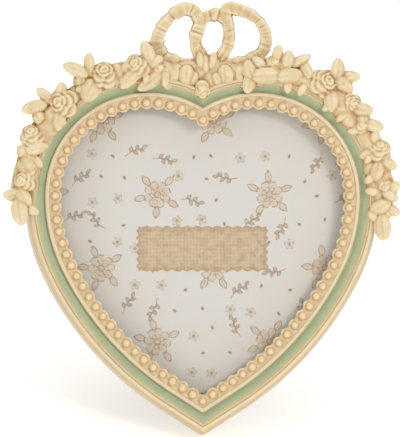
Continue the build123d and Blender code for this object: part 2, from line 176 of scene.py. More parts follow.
def skin(rings: Array, endless: bool = False) -> Shell:
    """Stretch a skin over rings: neighbouring rings are joined by quads, open ends by fans.

    Args:
        rings: places (stations, around, 3), each ring closed on itself.
        endless: whether the last ring joins the first one.

    Returns:
        The closed skin.
    """
    stations, around = rings.shape[:2]
    points = rings.reshape(-1, 3)
    row = np.arange(stations if endless else stations - 1)[:, None]
    column = np.arange(around)[None, :]
    beside = (column + 1) % around
    below = (row + 1) % stations
    here, next_ring = row * around, below * around
    corners = [here + column, here + beside, next_ring + beside, next_ring + column]
    quads = np.stack(np.broadcast_arrays(*corners), axis=-1).reshape(-1, 4)
    triangles = np.zeros((0, 3), int)
    if not endless:
        first, last = len(points), len(points) + 1
        end = (stations - 1) * around
        points = np.concatenate([points, rings[:1].mean(axis=1), rings[-1:].mean(axis=1)])
        fan = np.arange(around)
        turned = (fan + 1) % around
        head = np.stack([np.full(around, first), turned, fan], axis=-1)
        foot = np.stack([np.full(around, last), end + fan, end + turned], axis=-1)
        triangles = np.concatenate([head, foot])
    return Shell(points, quads, triangles)


def gather(shells: Iterable[Shell]) -> Shell:
    """Put several skins into one, with their point numbers moved along.

    Args:
        shells: the skins.

    Returns:
        One skin of them all.
    """
    points, quads, triangles, count = [], [], [], 0
    for shell in shells:
        points.append(shell.points)
        quads.append(shell.quads + count)
        triangles.append(shell.triangles + count)
        count += len(shell.points)
    return Shell(np.concatenate(points), np.concatenate(quads), np.concatenate(triangles))


def ripple(points: Array, size: float, seed: int, waves: int = 9) -> Array:
    """Smooth seeded noise about zero: the mean of sine waves of one length in many directions.

    Args:
        points: places (..., 3) in millimetres.
        size: wave length in millimetres.
        seed: number that fixes the directions and phases.
        waves: how many sine waves are added.

    Returns:
        One value for each place, mostly within -1 and 1.
    """
    dice = np.random.default_rng(seed)
    heading = dice.normal(size=(waves, 3))
    heading /= np.linalg.norm(heading, axis=1, keepdims=True)
    heading *= 2 * math.pi / size * dice.uniform(0.7, 1.4, size=(waves, 1))
    phase = dice.uniform(0, 2 * math.pi, size=waves)
    return np.sin(points @ heading.T + phase).sum(axis=-1) / math.sqrt(waves)


def relax(values: Array, edges: Array, rounds: int, share: float) -> Array:
    """Move values (n, k) at the points of a mesh towards the mean of their neighbours, round by round.

    Args:
        values: values (n, k) at the points.
        edges: pairs (m, 2) of point numbers.
        rounds: how many rounds.
        share: part of the way to the mean that each round goes.

    Returns:
        The eased values.
    """
    count = np.bincount(edges.ravel(), minlength=len(values))[:, None].clip(1)
    near, far = edges[:, 0], edges[:, 1]
    for _ in range(rounds):
        sums = [
            np.bincount(near, column[far], len(values)) + np.bincount(far, column[near], len(values))
            for column in values.T
        ]
        values = values + share * (np.stack(sums, axis=-1) / count - values)
    return values


def make_piece(
    name: str, shell: Shell, marks: Optional[dict[str, Array]] = None, crease: float = 38.0
) -> Any:
    """Make an object of a skin on the face.

    Args:
        name: name of the piece.
        shell: its skin, in face millimetres.
        marks: values at its points, kept as attributes for its material.
        crease: edges sharper than this angle, in degrees, stay sharp.

    Returns:
        The object, at the origin, with its place in its mesh.
    """
    standing = Shell(FACE.stand(shell.points), shell.quads, shell.triangles).outwards()
    mesh = bpy.data.meshes.new(name)
    mesh.from_pydata(standing.points.tolist(), [], standing.faces())
    for title, values in (marks or {}).items():
        mesh.attributes.new(title, "FLOAT", "POINT").data.foreach_set("value", values.astype(np.float32))
    mesh.shade_smooth()
    mesh.set_sharp_from_angle(angle=math.radians(crease))
    piece = bpy.data.objects.new(name, mesh)
    bpy.context.scene.collection.objects.link(piece)
    return piece


def cast(name: str, shells: list[Shell], grain: float, easing: int = 4) -> Any:
    """Cast overlapping skins as one body, as a mould fills them, and note its hollows.

    A voxel grid of the given grain joins the skins and its surface is eased. A point's hollow is the
    distance in millimetres, along its normal, up to a much smoother copy of the surface: above zero in
    a dip, below zero on a swelling. Its seam is the same distance to a copy that is only a little
    smoother, which marks fine lines. Its flank is one on an upright side and falls to zero, as a
    square, where the cast faces straight forwards or back.

    Args:
        name: name of the piece.
        shells: closed skins in face millimetres.
        grain: voxel size in millimetres.
        easing: rounds of smoothing that round the cast's edges.

    Returns:
        The object, with attributes flank, hollow and seam.
    """
    whole = gather(shells)
    model = bpy.data.meshes.new(name + "_model")
    model.from_pydata(whole.points.tolist(), [], whole.faces())
    pattern = bpy.data.objects.new(name + "_model", model)
    bpy.context.scene.collection.objects.link(pattern)
    remesh = pattern.modifiers.new("mould", "REMESH")
    remesh.mode = "VOXEL"
    remesh.voxel_size = grain
    seen = pattern.evaluated_get(bpy.context.evaluated_depsgraph_get())
    body = bpy.data.meshes.new_from_object(seen)
    points = np.empty(len(body.vertices) * 3)
    body.vertices.foreach_get("co", points)
    edges = np.empty(len(body.edges) * 2, dtype=np.int64)
    body.edges.foreach_get("vertices", edges)
    edges = edges.reshape(-1, 2)
    points = relax(points.reshape(-1, 3), edges, easing, 0.5)
    body.vertices.foreach_set("co", points.ravel())
    body.update()
    normals = np.empty(len(points) * 3)
    body.vertices.foreach_get("normal", normals)
    normals = normals.reshape(-1, 3)
    # flank feeds the cream finish's darkening of upright sides, partly wash and partly painted shade
    marks, worn = {"flank": (1 - np.abs(normals[:, 1])) ** 2}, points
    for title, rounds in (("seam", 8), ("hollow", 40)):
        worn = relax(worn, edges, rounds, 0.6)
        depth = np.einsum("ij,ij->i", worn - points, normals)
        marks[title] = relax(depth[:, None], edges, 1, 0.5)[:, 0]
    corners = np.empty(len(body.loops), dtype=np.int64)
    body.loops.foreach_get("vertex_index", corners)
    shell = Shell(points, corners.reshape(-1, 4), np.zeros((0, 3), int))
    bpy.data.objects.remove(pattern)
    bpy.data.meshes.remove(model)
    bpy.data.meshes.remove(body)
    return make_piece(name, shell, marks, crease=180.0)


def hand_over(piece: Any, coat: Any, node: str, body: Optional[Body] = Body.FRAME) -> None:
    """Give a piece its material, its body and the CAD node that it stands for.

    Args:
        piece: the object.
        coat: its material.
        node: the CAD node that it hides.
        body: the body that it rides on, or none to leave it on no body.
    """
    piece.data.materials.append(coat)
    if body:
        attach(piece, body.value)
    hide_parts(node)
    log.info("%s: %d faces in place of %s", piece.name, len(piece.data.polygons), node)


# Finishes


# Refractive index of the acrylic paint on the resin
PAINT_IOR = 1.48


def linear(colour: str) -> tuple[float, float, float, float]:
    """Linear red, green, blue and alpha of an sRGB hex colour.

    Args:
        colour: the colour, as #rrggbb.

    Returns:
        Red, green, blue and alpha.
    """
    parts = [int(colour[k : k + 2], 16) / 255 for k in (1, 3, 5)]
    red, green, blue = (p / 12.92 if p <= 0.04045 else ((p + 0.055) / 1.055) ** 2.4 for p in parts)
    return red, green, blue, 1.0


def per(size: float) -> float:
    """Texture scale, in cells to the metre, of a pattern whose cells are a size in millimetres."""
    return 1000.0 / size


def wire(tree: Any, node: Any, feeds: dict[Any, Any]) -> None:
    """Give a node's inputs, by name or number, values or links from other nodes' sockets.

    Args:
        tree: the material's tree.
        node: the node.
        feeds: the values or sockets.
    """
    for key, value in feeds.items():
        if isinstance(value, bpy.types.NodeSocket):
            tree.links.new(value, node.inputs[key])
        else:
            node.inputs[key].default_value = value


def place(
    tree: Any,
    kind: str,
    out: Any,
    feeds: Optional[dict[Any, Any]] = None,
    stops: Iterable[tuple[float, str]] = (),
    **settings: Any,
) -> Any:
    """Add a node to a material's tree.

    Args:
        tree: the tree.
        kind: Blender's name for the node's type, without its prefix.
        out: name or number of the output that is wanted.
        feeds: values or sockets of other nodes for its inputs, by name or number.
        stops: places and sRGB hex colours of its colour ramp.
        settings: the node's own attributes.

    Returns:
        The output's socket.
    """
    node = tree.nodes.new("ShaderNode" + kind)
    for title, value in settings.items():
        setattr(node, title, value)
    wire(tree, node, feeds or {})
    for number, (position, colour) in enumerate(stops):
        marks = node.color_ramp.elements
        if number == 0:
            marks.remove(marks[1])
            marks[0].position = position
        mark = marks[0] if number == 0 else marks.new(position)
        mark.color = linear(colour)
    return node.outputs[out]


@dataclass(frozen=True)
class Finish:
    """A finish that makes one material round a Principled shader."""

    title: str = "finish"

    def material(self) -> Any:
        """Make the material.

        Returns:
            The material.
        """
        made = bpy.data.materials.new(self.title)
        made.use_nodes = True
        wire(made.node_tree, made.node_tree.nodes["Principled BSDF"], self.paint(made.node_tree))
        return made

    def paint(self, tree: Any) -> dict[str, Any]:
        """Add the finish's nodes, and tell what each of the shader's inputs gets."""
        raise NotImplementedError


@dataclass(frozen=True)
class AgedCream(Finish):
    """Cream paint on cast resin, sponged with an umber wash that is wiped off the high places.

    The cast is stone-filled resin, brushed matt: the eye gets pale rubbed ridges, a warm mottled
    body and brown lines that settle in every crevice. Upright sides darken as well, partly by wash
    and partly as painted shade.
    """

    title: str = "cream_paint_on_cast_resin"
    tones: Stops = (
        (0.16, "#e9d8b4"), (0.36, "#dbc59b"), (0.52, "#cfb181"), (0.7, "#b99462"), (0.95, "#866131"),
    )
    least: float = -0.06
    # flank darkens upright sides, partly as wash and partly as painted shade
    worn: tuple[tuple[str, float], ...] = (("hollow", 0.7), ("seam", 3.6), ("flank", 0.5))
    mottle: float = 2.2
    mottle_gain: float = 0.4
    blotch: float = 7.48
    blotch_gain: float = 0.32
    grit: float = 0.45
    grit_gain: float = 0.22
    grit_depth: float = 0.05
    gloss: tuple[float, float] = (0.42, 0.62)

    def paint(self, tree: Any) -> dict[str, Any]:
        """Add up dips, lines, painted shade on the sides and mottle to a depth of wash, and roughen with a
        fine grit.

        Args:
            tree: the material's tree.

        Returns:
            Values or sockets for the shader's inputs, by name.
        """
        coords = place(tree, "TexCoord", "Object")
        mottle, blotch, grit = (
            place(tree, "TexNoise", "Fac", {"Vector": coords, "Scale": per(size), "Detail": detail})
            for size, detail in ((self.mottle, 3.0), (self.blotch, 2.0), (self.grit, 2.0))
        )
        shares = [(place(tree, "Attribute", "Fac", attribute_name=name), gain) for name, gain in self.worn]
        shares += [(mottle, self.mottle_gain), (blotch, self.blotch_gain), (grit, self.grit_gain)]
        # The sum is the depth of wash, with painted shade on the upright sides in it
        wash = self.least
        for source, gain in shares:
            wash = place(tree, "Math", 0, {0: source, 1: gain, 2: wash}, operation="MULTIPLY_ADD")
        low, high = self.gloss
        return {
            "Base Color": place(tree, "ValToRGB", "Color", {"Fac": wash}, self.tones),
            "Roughness": place(tree, "MapRange", "Result", {"Value": mottle, "To Min": low, "To Max": high}),
            "IOR": PAINT_IOR,
            "Normal": place(
                tree, "Bump", "Normal",
                {"Height": grit, "Distance": self.grit_depth / 1000, "Strength": 0.35},
            ),
        }


@dataclass(frozen=True)
class BandedCream(Finish):
    """Cream paint with a sage green cove, brushed along the moulding by hand.

    The green is thin, so cream shows through its outer edge in streaks, and an umber wash lies in
    the grooves on both sides of the rim. At the foot of the pearl band the darker paint is partly
    that wash and partly painted shade, and the grey tan of the outer side wall is painted shade.
    """

    title: str = "brushed_cream_and_sage_paint"
    streak: float = 0.55
    streak_depth: float = 0.06
    streak_tone: tuple[float, float] = (0.86, 1.1)
    draw: float = 9.0
    mottle: float = 3.0
    gloss: tuple[float, float] = (0.36, 0.58)
    full_width: float = 12.6
    # Insets 0 to 1.3 are a grey tan that is painted shade on the side wall; the dip at 7.3 to 7.5 is partly
    # wash and partly painted shade at the foot of the band
    cream: Stops = (
        (0.0, "#cabb9b"), (1.3, "#cdba95"), (1.9, "#c5a97f"), (2.35, "#dac59d"), (2.9, "#e5d3ae"),
        (3.45, "#dfcaa2"), (3.7, "#cdb389"), (3.92, "#e8d8b4"), (4.4, "#dccca2"), (5.2, "#d2c89f"),
        (7.3, "#cbc09a"), (7.5, "#c3b791"), (7.66, "#d9c9a0"), (7.95, "#e6d4b0"), (8.9, "#e7d6b2"),
        (9.25, "#e6d3ac"), (10.8, "#e5d1aa"), (12.0, "#e7d4ad"), (12.6, "#dfc79c"),
    )
    sage: Stops = (
        (3.8, "#c8c6a0"), (4.8, "#bbc39f"), (5.8, "#b2bd98"), (6.8, "#b0ba96"), (7.4, "#b8bd98"),
    )
    sage_fade: float = 0.85
    sage_foot: tuple[float, float] = (7.52, 7.36)
    ring: str = "#dcc196"
    ring_reach: tuple[float, float] = (1.75, 2.35)
    ring_cover: float = 0.75

    def paint(self, tree: Any) -> dict[str, Any]:
        """Colour by how far in from the outline a point lies, with streaks along the moulding.

        Args:
            tree: the material's tree.

        Returns:
            Values or sockets for the shader's inputs, by name.
        """
        coords = place(tree, "TexCoord", "Object")
        inset, along, pearl_gap, green_from = (
            place(tree, "Attribute", "Fac", attribute_name=name)
            for name in ("inset", "along", "pearl_gap", "green_from")
        )
        lengthwise = place(tree, "Math", 0, {0: along, 1: self.draw}, operation="DIVIDE")
        crosswise = place(tree, "Math", 0, {0: inset, 1: self.streak}, operation="DIVIDE")
        brush = place(tree, "CombineXYZ", 0, {"X": lengthwise, "Y": crosswise, "Z": 0.0})
        streak = place(tree, "TexNoise", "Fac", {"Vector": brush, "Scale": 1.0, "Detail": 3.0})
        cloud = place(tree, "TexNoise", "Fac", {"Vector": coords, "Scale": per(self.mottle), "Detail": 3.0})
        level = place(tree, "MapRange", "Result", {"Value": inset, "From Max": self.full_width})
        cream, sage = (
            place(
                tree, "ValToRGB", "Color", {"Fac": level},
                [(at / self.full_width, tone) for at, tone in stops],
            )
            for stops in (self.cream, self.sage)
        )
        wavering = place(tree, "Math", 0, {0: streak, 1: inset}, operation="ADD")
        edge = place(tree, "Math", 0, {0: wavering, 1: green_from}, operation="SUBTRACT")
        started = place(tree, "MapRange", "Result", {"Value": edge, "From Max": self.sage_fade})
        bare, full = self.sage_foot
        covered = place(
            tree, "MapRange", "Result",
            {"Value": inset, "From Min": bare, "From Max": full, "To Max": started},
        )
        bands = place(tree, "Mix", 2, {0: covered, 6: cream, 7: sage}, data_type="RGBA")
        near, far = self.ring_reach
        ring = place(
            tree, "MapRange", "Result",
            {"Value": pearl_gap, "From Min": near, "From Max": far, "To Min": self.ring_cover, "To Max": 0.0},
        )
        ringed = place(tree, "Mix", 2, {0: ring, 6: bands, 7: linear(self.ring)}, data_type="RGBA")
        dark, light = self.streak_tone
        tone = place(tree, "MapRange", "Result", {"Value": streak, "To Min": dark, "To Max": light})
        low, high = self.gloss
        return {
            "Base Color": place(
                tree, "Mix", 2, {0: 1.0, 6: ringed, 7: tone}, data_type="RGBA", blend_type="MULTIPLY"
            ),
            "Roughness": place(tree, "MapRange", "Result", {"Value": cloud, "To Min": low, "To Max": high}),
            "IOR": PAINT_IOR,
            "Normal": place(
                tree, "Bump", "Normal",
                {"Height": streak, "Distance": self.streak_depth / 1000, "Strength": 0.3},
            ),
        }


@dataclass(frozen=True)
class PearlCream(Finish):
    """Satin cream on small cast pearls: darker round their feet, partly amber wash and partly painted shade,
    and paler at their crowns, a painted highlight.
    """

    title: str = "satin_cream_on_pearls"
    mottle: float = 1.1
    mottle_gain: float = 0.36
    mottle_depth: float = 0.06
    # Stops near the foot (0.1 to 0.22) are partly amber wash and partly painted shade; the pale crown stops
    # are a painted highlight
    tones: Stops = (
        (0.0, "#e7d4ae"), (0.1, "#d9bb8b"), (0.22, "#c99f67"), (0.45, "#dcb986"), (0.7, "#e5c99c"),
        (0.95, "#ead6b2"),
    )

    def paint(self, tree: Any) -> dict[str, Any]:
        """Colour from foot to crown, shaken by a mottle, under a soft clear coat.

        Args:
            tree: the material's tree.

        Returns:
            Values or sockets for the shader's inputs, by name.
        """
        coords = place(tree, "TexCoord", "Object")
        rise = place(tree, "Attribute", "Fac", attribute_name="rise")
        cloud = place(tree, "TexNoise", "Fac", {"Vector": coords, "Scale": per(self.mottle), "Detail": 2.0})
        shaken = place(tree, "Math", 0, {0: cloud, 1: self.mottle_gain, 2: rise}, operation="MULTIPLY_ADD")
        level = place(tree, "Math", 0, {0: shaken, 1: self.mottle_gain / 2}, operation="SUBTRACT")
        return {
            "Base Color": place(tree, "ValToRGB", "Color", {"Fac": level}, self.tones),
            "Roughness": 0.26,
            "IOR": 1.5,
            "Coat Weight": 0.5,
            "Coat Roughness": 0.06,
            "Normal": place(
                tree, "Bump", "Normal",
                {"Height": cloud, "Distance": self.mottle_depth / 1000, "Strength": 0.25},
            ),
        }


@dataclass(frozen=True)
class PrintedCard(Finish):
    """Uncoated card printed in sepia, with a printed kraft paper label.

    The ink is a thin screen, so outlines are darker than the tinted petals and the paper's tooth
    shows through both. The label has the cross threads of bookbinder's linen.
    """

    title: str = "sepia_print_on_card"
    paper: str = "#d8d3cc"
    ink: str = "#96714a"
    tint: str = "#cfb48f"
    linen: Stops = ((0.35, "#d2bc98"), (0.62, "#c6ad88"), (0.98, "#ae9069"))
    tooth: float = 0.4
    tooth_depth: float = 0.03
    patch: float = 2.2
    thread: float = 0.6
    thread_gain: float = 0.14
    gloss: tuple[float, float] = (0.72, 0.9)

    def paint(self, tree: Any) -> dict[str, Any]:
        """Lay tint, lines and label over the paper from the distances kept at its points.

        Args:
            tree: the material's tree.

        Returns:
            Values or sockets for the shader's inputs, by name.
        """
        coords = place(tree, "TexCoord", "Object")
        line, tone, label = (
            place(tree, "Attribute", "Fac", attribute_name=name) for name in ("line", "tone", "label")
        )
        tooth, patch = (
            place(tree, "TexNoise", "Fac", {"Vector": coords, "Scale": per(size), "Detail": 3.0})
            for size in (self.tooth, self.patch)
        )
        # Each row turns a distance or a noise to a share: its source, the range read and the range given.
        press, filled, drawn, edge, pasted = (
            place(
                tree, "MapRange", "Result",
                {"Value": source, "From Min": first, "From Max": last, "To Min": low, "To Max": high},
            )
            for source, first, last, low, high in (
                (patch, 0.3, 0.7, 0.35, 1.0),
                (tone, 0.1, -0.25, 0.0, 0.75),
                (line, 0.3, 0.08, 0.0, 0.85),
                (label, -2.4, 0.0, 0.0, 0.28),
                (label, 0.06, -0.06, 0.0, 1.0),
            )
        )
        washed = place(tree, "Math", 0, {0: filled, 1: press}, operation="MULTIPLY")
        tinted = place(
            tree, "Mix", 2, {0: washed, 6: linear(self.paper), 7: linear(self.tint)}, data_type="RGBA"
        )
        inked = place(tree, "Mix", 2, {0: drawn, 6: tinted, 7: linear(self.ink)}, data_type="RGBA")
        # A wave texture repeats every 2 pi / 20 of a cell: one thread and one gap.
        waves = per(self.thread) / 20 * math.pi
        warp, weft = (
            place(
                tree, "TexWave", "Fac",
                {"Vector": coords, "Scale": waves, "Distortion": 3.0, "Detail": 2.0},
                bands_direction=way,
            )
            for way in ("X", "Z")
        )
        crossed = place(tree, "Math", 0, {0: warp, 1: weft}, operation="ADD")
        aged = place(tree, "Math", 0, {0: crossed, 1: self.thread_gain, 2: patch}, operation="MULTIPLY_ADD")
        darker = place(tree, "Math", 0, {0: aged, 1: edge}, operation="ADD")
        linen = place(tree, "ValToRGB", "Color", {"Fac": darker}, self.linen)
        low, high = self.gloss
        return {
            "Base Color": place(tree, "Mix", 2, {0: pasted, 6: inked, 7: linen}, data_type="RGBA"),
            "Roughness": place(tree, "MapRange", "Result", {"Value": tooth, "To Min": low, "To Max": high}),
            "Normal": place(
                tree, "Bump", "Normal",
                {"Height": tooth, "Distance": self.tooth_depth / 1000, "Strength": 0.3},
            ),
        }


@dataclass(frozen=True)
class FloatGlass(Finish):
    """Thin float glass: almost all light goes straight through, and wiping leaves a faint haze."""

    title: str = "float_glass"
    haze: float = 14.0
    gloss: tuple[float, float] = (0.02, 0.12)
    tones: Stops = ((0.3, "#eef4f0"), (0.7, "#f6faf7"))

    def paint(self, tree: Any) -> dict[str, Any]:
        """Let light through, and vary the gloss by the wiped haze.

        Args:
            tree: the material's tree.

        Returns:
            Values or sockets for the shader's inputs, by name.
        """
        coords = place(tree, "TexCoord", "Object")
        wiped = place(tree, "TexNoise", "Fac", {"Vector": coords, "Scale": per(self.haze), "Detail": 4.0})
        low, high = self.gloss
        return {
            "Base Color": place(tree, "ValToRGB", "Color", {"Fac": wiped}, self.tones),
            "Roughness": place(tree, "MapRange", "Result", {"Value": wiped, "To Min": low, "To Max": high}),
            "IOR": 1.52,
            "Alpha": 0.05,
        }


@dataclass(frozen=True)
class FlockedBoard(Finish):
    """Hardboard faced with taupe flock: short upright fibres that brush lighter one way."""

    title: str = "taupe_flocked_hardboard"
    fibre: float = 0.35
    fibre_gain: float = 0.45
    fibre_depth: float = 0.15
    nap: float = 12.0
    tones: Stops = ((0.48, "#645345"), (0.7, "#736150"), (0.95, "#87745f"))

    def paint(self, tree: Any) -> dict[str, Any]:
        """Colour by fibre and brushed nap, with the sheen of upright fibres.

        Args:
            tree: the material's tree.

        Returns:
            Values or sockets for the shader's inputs, by name.
        """
        coords = place(tree, "TexCoord", "Object")
        fibre = place(tree, "TexNoise", "Fac", {"Vector": coords, "Scale": per(self.fibre), "Detail": 2.0})
        nap = place(
            tree, "TexNoise", "Fac",
            {"Vector": coords, "Scale": per(self.nap), "Detail": 3.0, "Distortion": 1.2},
        )
        mixed = place(tree, "Math", 0, {0: fibre, 1: self.fibre_gain, 2: nap}, operation="MULTIPLY_ADD")
        return {
            "Base Color": place(tree, "ValToRGB", "Color", {"Fac": mixed}, self.tones),
            "Roughness": 0.95,
            "Sheen Weight": 0.45,
            "Sheen Roughness": 0.4,
            "Normal": place(
                tree, "Bump", "Normal",
                {"Height": fibre, "Distance": self.fibre_depth / 1000, "Strength": 0.6},
            ),
        }


@dataclass(frozen=True)
class PlatedSteel(Finish):
    """Nickel plated pressed steel: a warm grey metal with fine rolling lines and dull handling marks."""

    title: str = "nickel_plated_steel"
    rolling: float = 0.25
    rolling_depth: float = 0.01
    drawn_out: float = 0.06
    handling: float = 5.0
    gloss: tuple[float, float] = (0.24, 0.42)
    tones: Stops = ((0.35, "#b9b2a6"), (0.7, "#d4cfc5"))

    def paint(self, tree: Any) -> dict[str, Any]:
        """Stretch a noise along X for the rolling lines, and dull the gloss in clouds.

        Args:
            tree: the material's tree.

        Returns:
            Values or sockets for the shader's inputs, by name.
        """
        coords = place(tree, "TexCoord", "Object")
        drawn = place(tree, "Mapping", "Vector", {"Vector": coords, "Scale": (self.drawn_out, 1.0, 1.0)})
        lines = place(tree, "TexNoise", "Fac", {"Vector": drawn, "Scale": per(self.rolling), "Detail": 2.0})
        cloud = place(tree, "TexNoise", "Fac", {"Vector": coords, "Scale": per(self.handling), "Detail": 3.0})
        low, high = self.gloss
        return {
            "Base Color": place(tree, "ValToRGB", "Color", {"Fac": cloud}, self.tones),
            "Metallic": 1.0,
            "Roughness": place(tree, "MapRange", "Result", {"Value": cloud, "To Min": low, "To Max": high}),
            "Normal": place(
                tree, "Bump", "Normal",
                {"Height": lines, "Distance": self.rolling_depth / 1000, "Strength": 0.4},
            ),
        }


@dataclass(frozen=True)
class SatinWeave(Finish):
    """Woven satin ribbon: close weft threads across it and a soft sheen; threads drawn coarse to show."""

    title: str = "ivory_satin_ribbon"
    thread: float = 0.5
    thread_depth: float = 0.03
    selvage_power: float = 14.0
    selvage_gain: float = -0.5
    tones: Stops = ((0.0, "#c6ae86"), (0.6, "#e2d0ad"), (1.0, "#ecdfc4"))

    def paint(self, tree: Any) -> dict[str, Any]:
        """Draw the weft from the ribbon's own length, and darken its woven edges.

        Args:
            tree: the material's tree.

        Returns:
            Values or sockets for the shader's inputs, by name.
        """
        run, wide = (place(tree, "Attribute", "Fac", attribute_name=name) for name in ("run", "wide"))
        turns = place(tree, "Math", 0, {0: run, 1: 2 * math.pi / self.thread}, operation="MULTIPLY")
        weft = place(tree, "Math", 0, {0: turns}, operation="SINE")
        selvage = place(tree, "Math", 0, {0: wide, 1: self.selvage_power}, operation="POWER")
        level = place(tree, "MapRange", "Result", {"Value": weft, "From Min": -1.0})
        dark = place(tree, "Math", 0, {0: selvage, 1: self.selvage_gain, 2: level}, operation="MULTIPLY_ADD")
        return {
            "Base Color": place(tree, "ValToRGB", "Color", {"Fac": dark}, self.tones),
            "Roughness": 0.38,
            "Sheen Weight": 0.3,
            "Normal": place(
                tree, "Bump", "Normal",
                {"Height": weft, "Distance": self.thread_depth / 1000, "Strength": 0.5},
            ),
        }


@dataclass(frozen=True)
class StudioPaper(Finish):
    """White seamless paper under the object, with a trace of tooth and a little light of its own."""

    title: str = "white_studio_paper"
    cloud: float = 120.0
    tones: Stops = ((0.3, "#f7f6f4"), (0.7, "#fbfaf8"))
    glow: str = "#fffdf9"

    def paint(self, tree: Any) -> dict[str, Any]:
        """Vary the white by a hair over hand widths.

        Args:
            tree: the material's tree.

        Returns:
            Values or sockets for the shader's inputs, by name.
        """
        coords = place(tree, "TexCoord", "Object")
        cloud = place(tree, "TexNoise", "Fac", {"Vector": coords, "Scale": per(self.cloud)})
        return {
            "Base Color": place(tree, "ValToRGB", "Color", {"Fac": cloud}, self.tones),
            "Roughness": 0.9,
            "Emission Color": linear(self.glow),
            "Emission Strength": 0.4,
        }


# The moulding, its pearls and the picture


@dataclass(frozen=True)
class HeartPath:
    """Outline of the heart: a lobe arc, a side arc, a flank arc and a straight run to the tip, mirrored."""

    lobe_offset: float = 19.1
    lobe_radius: float = 44.3
    side_radius: float = 67.0
    flank_radius: float = 117.0
    side_turn: float = 26.3
    tip_slope: float = 32.8

    @property
    def lobe_z(self) -> float:
        """Height of the lobes' centres: what the flank arc and the run add up to.

        Returns:
            The height over the tip, in millimetres.
        """
        turn, slope = math.radians(self.side_turn), math.radians(self.tip_slope)
        grow = self.flank_radius - self.side_radius
        foot_x = self.lobe_offset + self.lobe_radius - self.side_radius - grow * math.cos(turn)
        foot_x += self.flank_radius * math.sin(slope)
        fall = self.flank_radius * math.cos(slope) - grow * math.sin(turn)
        return foot_x * math.tan(slope) + fall

    @property
    def cusp_z(self) -> float:
        """Height of the dip between the lobes."""
        return self.lobe_z + math.sqrt(self.lobe_radius**2 - self.lobe_offset**2)

    @staticmethod
    def on_arc(arc: tuple[float, float, float], inset: Array, angle: Any) -> Array:
        """Places on an arc, given as its centre's x and z and its radius, moved in."""
        x, z, radius = arc
        return np.stack([x + (radius - inset) * np.cos(angle), z + (radius - inset) * np.sin(angle)], -1)

    def half(self, inset: Array, spacing: float) -> Array:
        """Right half of the outline, moved in, from the dip to the tip.

        On an arc the place is centre plus radius less inset; the lobe arc starts where it meets the
        middle, and the run ends where its line, moved in, meets the middle.

        Args:
            inset: distances in from the outline (m), in millimetres.
            spacing: length between stations.

        Returns:
            Places (stations, m, 2) as x and z.
        """
        turn, slope = math.radians(self.side_turn), math.radians(self.tip_slope)
        side_x = self.lobe_offset + self.lobe_radius - self.side_radius
        grow = self.flank_radius - self.side_radius
        arcs = (
            (self.lobe_offset, self.lobe_z, self.lobe_radius),
            (side_x, self.lobe_z, self.side_radius),
            (side_x - grow * math.cos(turn), self.lobe_z + grow * math.sin(turn), self.flank_radius),
        )
        start = np.arccos(-self.lobe_offset / (self.lobe_radius - inset))
        flat = np.zeros_like(start)
        turns = ((start, flat), (flat, flat - turn), (flat - turn, flat + slope - math.pi / 2))
        legs = []
        for arc, (first, last) in zip(arcs, turns):
            count = math.ceil(arc[2] * abs(float(np.mean(first - last))) / spacing)
            share = np.linspace(0, 1, count + 1)[:-1, None]
            legs.append(self.on_arc(arc, inset, first + (last - first) * share))
        foot = self.on_arc(arcs[-1], inset, slope - math.pi / 2)
        tip = np.stack([flat, inset / math.cos(slope)], -1)
        count = math.ceil(float(np.linalg.norm(foot - tip, axis=-1).mean()) / spacing)
        share = np.linspace(0, 1, count + 1)[:, None, None]
        legs.append(foot + (tip - foot) * share)
        return np.concatenate(legs)

    def loop(self, inset: Array, spacing: float) -> Array:
        """Whole outline, moved in: down the right half and up its mirror image.

        Args:
            inset: distances in from the outline (m), in millimetres.
            spacing: length between stations.

        Returns:
            Places (stations, m, 2) as x and z.
        """
        right = self.half(inset, spacing)
        left = right[-2:0:-1] * np.array([-1.0, 1.0])
        return np.concatenate([right, left])


HEART = HeartPath()


